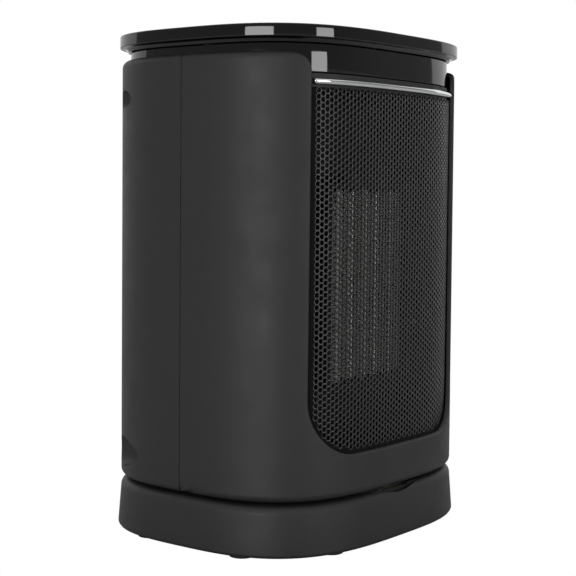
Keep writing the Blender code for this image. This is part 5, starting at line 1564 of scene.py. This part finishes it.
@dataclass
class Studio:
    """A pale floor, a white backdrop on one side, two soft boxes and the camera."""

    azimuth: float = -52.439
    elevation: float = 4.217
    roll: float = 0.495
    distance: float = 0.7333
    target: tuple[float, float, float] = (-0.014, -0.0099, 0.1287)
    lens: float = 85.644
    sensor: float = 36.0
    nearest: float = 0.01
    backdrop_azimuth: float = 45.0
    backdrop_light: float = 1.9
    backdrop_sheen: float = 0.68
    dim_light: float = 0.22
    top_light: float = 0.7
    backdrop_half_width: float = 64.0
    backdrop_fade: float = 1.0
    top_rise: tuple[float, float] = (0.5, 0.85)
    floor_tone: str = "9c9c9c"
    floor_roughness: float = 0.9
    floor_half: float = 6.0
    boxes: tuple[SoftBox, ...] = (SoftBox("left_box", 193.6, 1.17, 26.5),
                                  SoftBox("right_box", -87.9, 0.66, 13.6))

    def build(self) -> None:
        """Makes the floor, the lights and the camera."""
        self.build_floor()
        self.build_surroundings()
        for box in self.boxes:
            box.hang()
        self.build_camera()

    def build_floor(self) -> None:
        """Makes a wide pale floor that the camera sees as white, as an overexposed sweep."""
        half = self.floor_half
        points = np.array([[-half, -half, 0], [half, -half, 0], [half, half, 0], [-half, half, 0]])
        mesh = bpy.data.meshes.new("studio_floor")
        mesh.from_pydata(points.tolist(), [], [(0, 1, 2, 3)])
        floor = bpy.data.objects.new("studio_floor", mesh)
        bpy.context.scene.collection.objects.link(floor)
        material = bpy.data.materials.new("painted_floor")
        material.use_nodes = True
        tree = material.node_tree
        shader = tree.nodes["Principled BSDF"]
        shader.inputs["Base Color"].default_value = linear(self.floor_tone)
        shader.inputs["Roughness"].default_value = self.floor_roughness
        bright = add_node(tree, "ShaderNodeEmission", {"Strength": 1.0})
        seen = add_node(tree, "ShaderNodeLightPath").outputs["Is Camera Ray"]
        mixed = add_node(tree, "ShaderNodeMixShader", None,
                         {0: seen, 1: shader.outputs[0], 2: bright.outputs[0]})
        tree.links.new(mixed.outputs[0], tree.nodes["Material Output"].inputs["Surface"])
        mesh.materials.append(material)

    def build_surroundings(self) -> None:
        """Lights the scene from all round: bright towards the backdrop and from above.

        The light from a direction d is dim + backdrop s(d . b) + top s(d_z), where b
        points at the backdrop and s rises smoothly. The camera itself sees plain white,
        and mirror-like surfaces see a dimmer backdrop, as behind a polarising filter.
        """
        world = bpy.data.worlds.new("studio")
        bpy.context.scene.world = world
        world.use_nodes = True
        tree = world.node_tree
        way = add_node(tree, "ShaderNodeTexCoord").outputs["Generated"]
        rays = add_node(tree, "ShaderNodeLightPath")
        angle = math.radians(self.backdrop_azimuth)
        outer, inner = (math.cos(math.radians(self.backdrop_half_width + fade))
                        for fade in (self.backdrop_fade, -self.backdrop_fade))
        across = add_node(tree, "ShaderNodeVectorMath",
                          {"operation": "DOT_PRODUCT", 1: (math.cos(angle), math.sin(angle), 0.0)}, {0: way})
        sheet = add_node(tree, "ShaderNodeMix",
                         {"data_type": "FLOAT", 2: self.backdrop_light, 3: self.backdrop_sheen},
                         {0: rays.outputs["Is Glossy Ray"]})
        backdrop = add_node(tree, "ShaderNodeMapRange",
                            {"interpolation_type": "SMOOTHSTEP", "From Min": outer, "From Max": inner},
                            {"Value": across.outputs["Value"], "To Max": sheet.outputs[0]})
        rise = add_node(tree, "ShaderNodeSeparateXYZ", None, {0: way}).outputs["Z"]
        top = add_node(tree, "ShaderNodeMapRange",
                       {"interpolation_type": "SMOOTHSTEP", "From Min": self.top_rise[0],
                        "From Max": self.top_rise[1], "To Max": self.top_light}, {"Value": rise})
        total = add_node(tree, "ShaderNodeMath", {"operation": "ADD"},
                         {0: backdrop.outputs[0], 1: top.outputs[0]})
        lit = add_node(tree, "ShaderNodeMath", {"operation": "ADD", 1: self.dim_light},
                       {0: total.outputs[0]})
        strength = add_node(tree, "ShaderNodeMix", {"data_type": "FLOAT", 3: 1.0},
                            {0: rays.outputs["Is Camera Ray"], 2: lit.outputs[0]})
        tree.links.new(strength.outputs[0], tree.nodes["Background"].inputs["Strength"])
        tree.nodes["Background"].inputs["Color"].default_value = (1.0, 1.0, 1.0, 1.0)

    def build_camera(self) -> None:
        """Places the camera on its own axes: back, right and up, turned by the roll."""
        azimuth, elevation = math.radians(self.azimuth), math.radians(self.elevation)
        back = Vector((math.sin(azimuth) * math.cos(elevation), -math.cos(azimuth) * math.cos(elevation),
                       math.sin(elevation)))
        right = Vector((0, 0, 1)).cross(back).normalized()
        up = back.cross(right)
        turn = math.radians(self.roll)
        rolled_right = right * math.cos(turn) + up * math.sin(turn)
        rolled_up = up * math.cos(turn) - right * math.sin(turn)
        camera = bpy.data.cameras.new("camera")
        camera.lens = self.lens
        camera.sensor_width = self.sensor
        camera.clip_start = self.nearest
        holder = bpy.data.objects.new("camera", camera)
        axes = Matrix((rolled_right, rolled_up, back)).transposed().to_4x4()
        holder.matrix_world = Matrix.Translation(Vector(self.target) + back * self.distance) @ axes
        bpy.context.scene.collection.objects.link(holder)
        bpy.context.scene.camera = holder


def main() -> None:
    """Builds every sub-assembly in order, then the studio."""
    logging.basicConfig(level=logging.INFO, format="%(message)s")
    bpy.context.scene.view_settings.view_transform = "Standard"
    front_low, front_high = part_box("front_shell")
    plan = Plan(front_high.x - Casing.taper, -front_low.y - Casing.taper)
    casing = Casing(plan, front_low.z, front_high.z)
    for part in (Base(plan), casing, Crown(plan), Outlet(casing), Heater(), Blower(), Studio()):
        LOG.info("building %s", type(part).__name__)
        part.build()


if __name__ == "__main__":
    main()
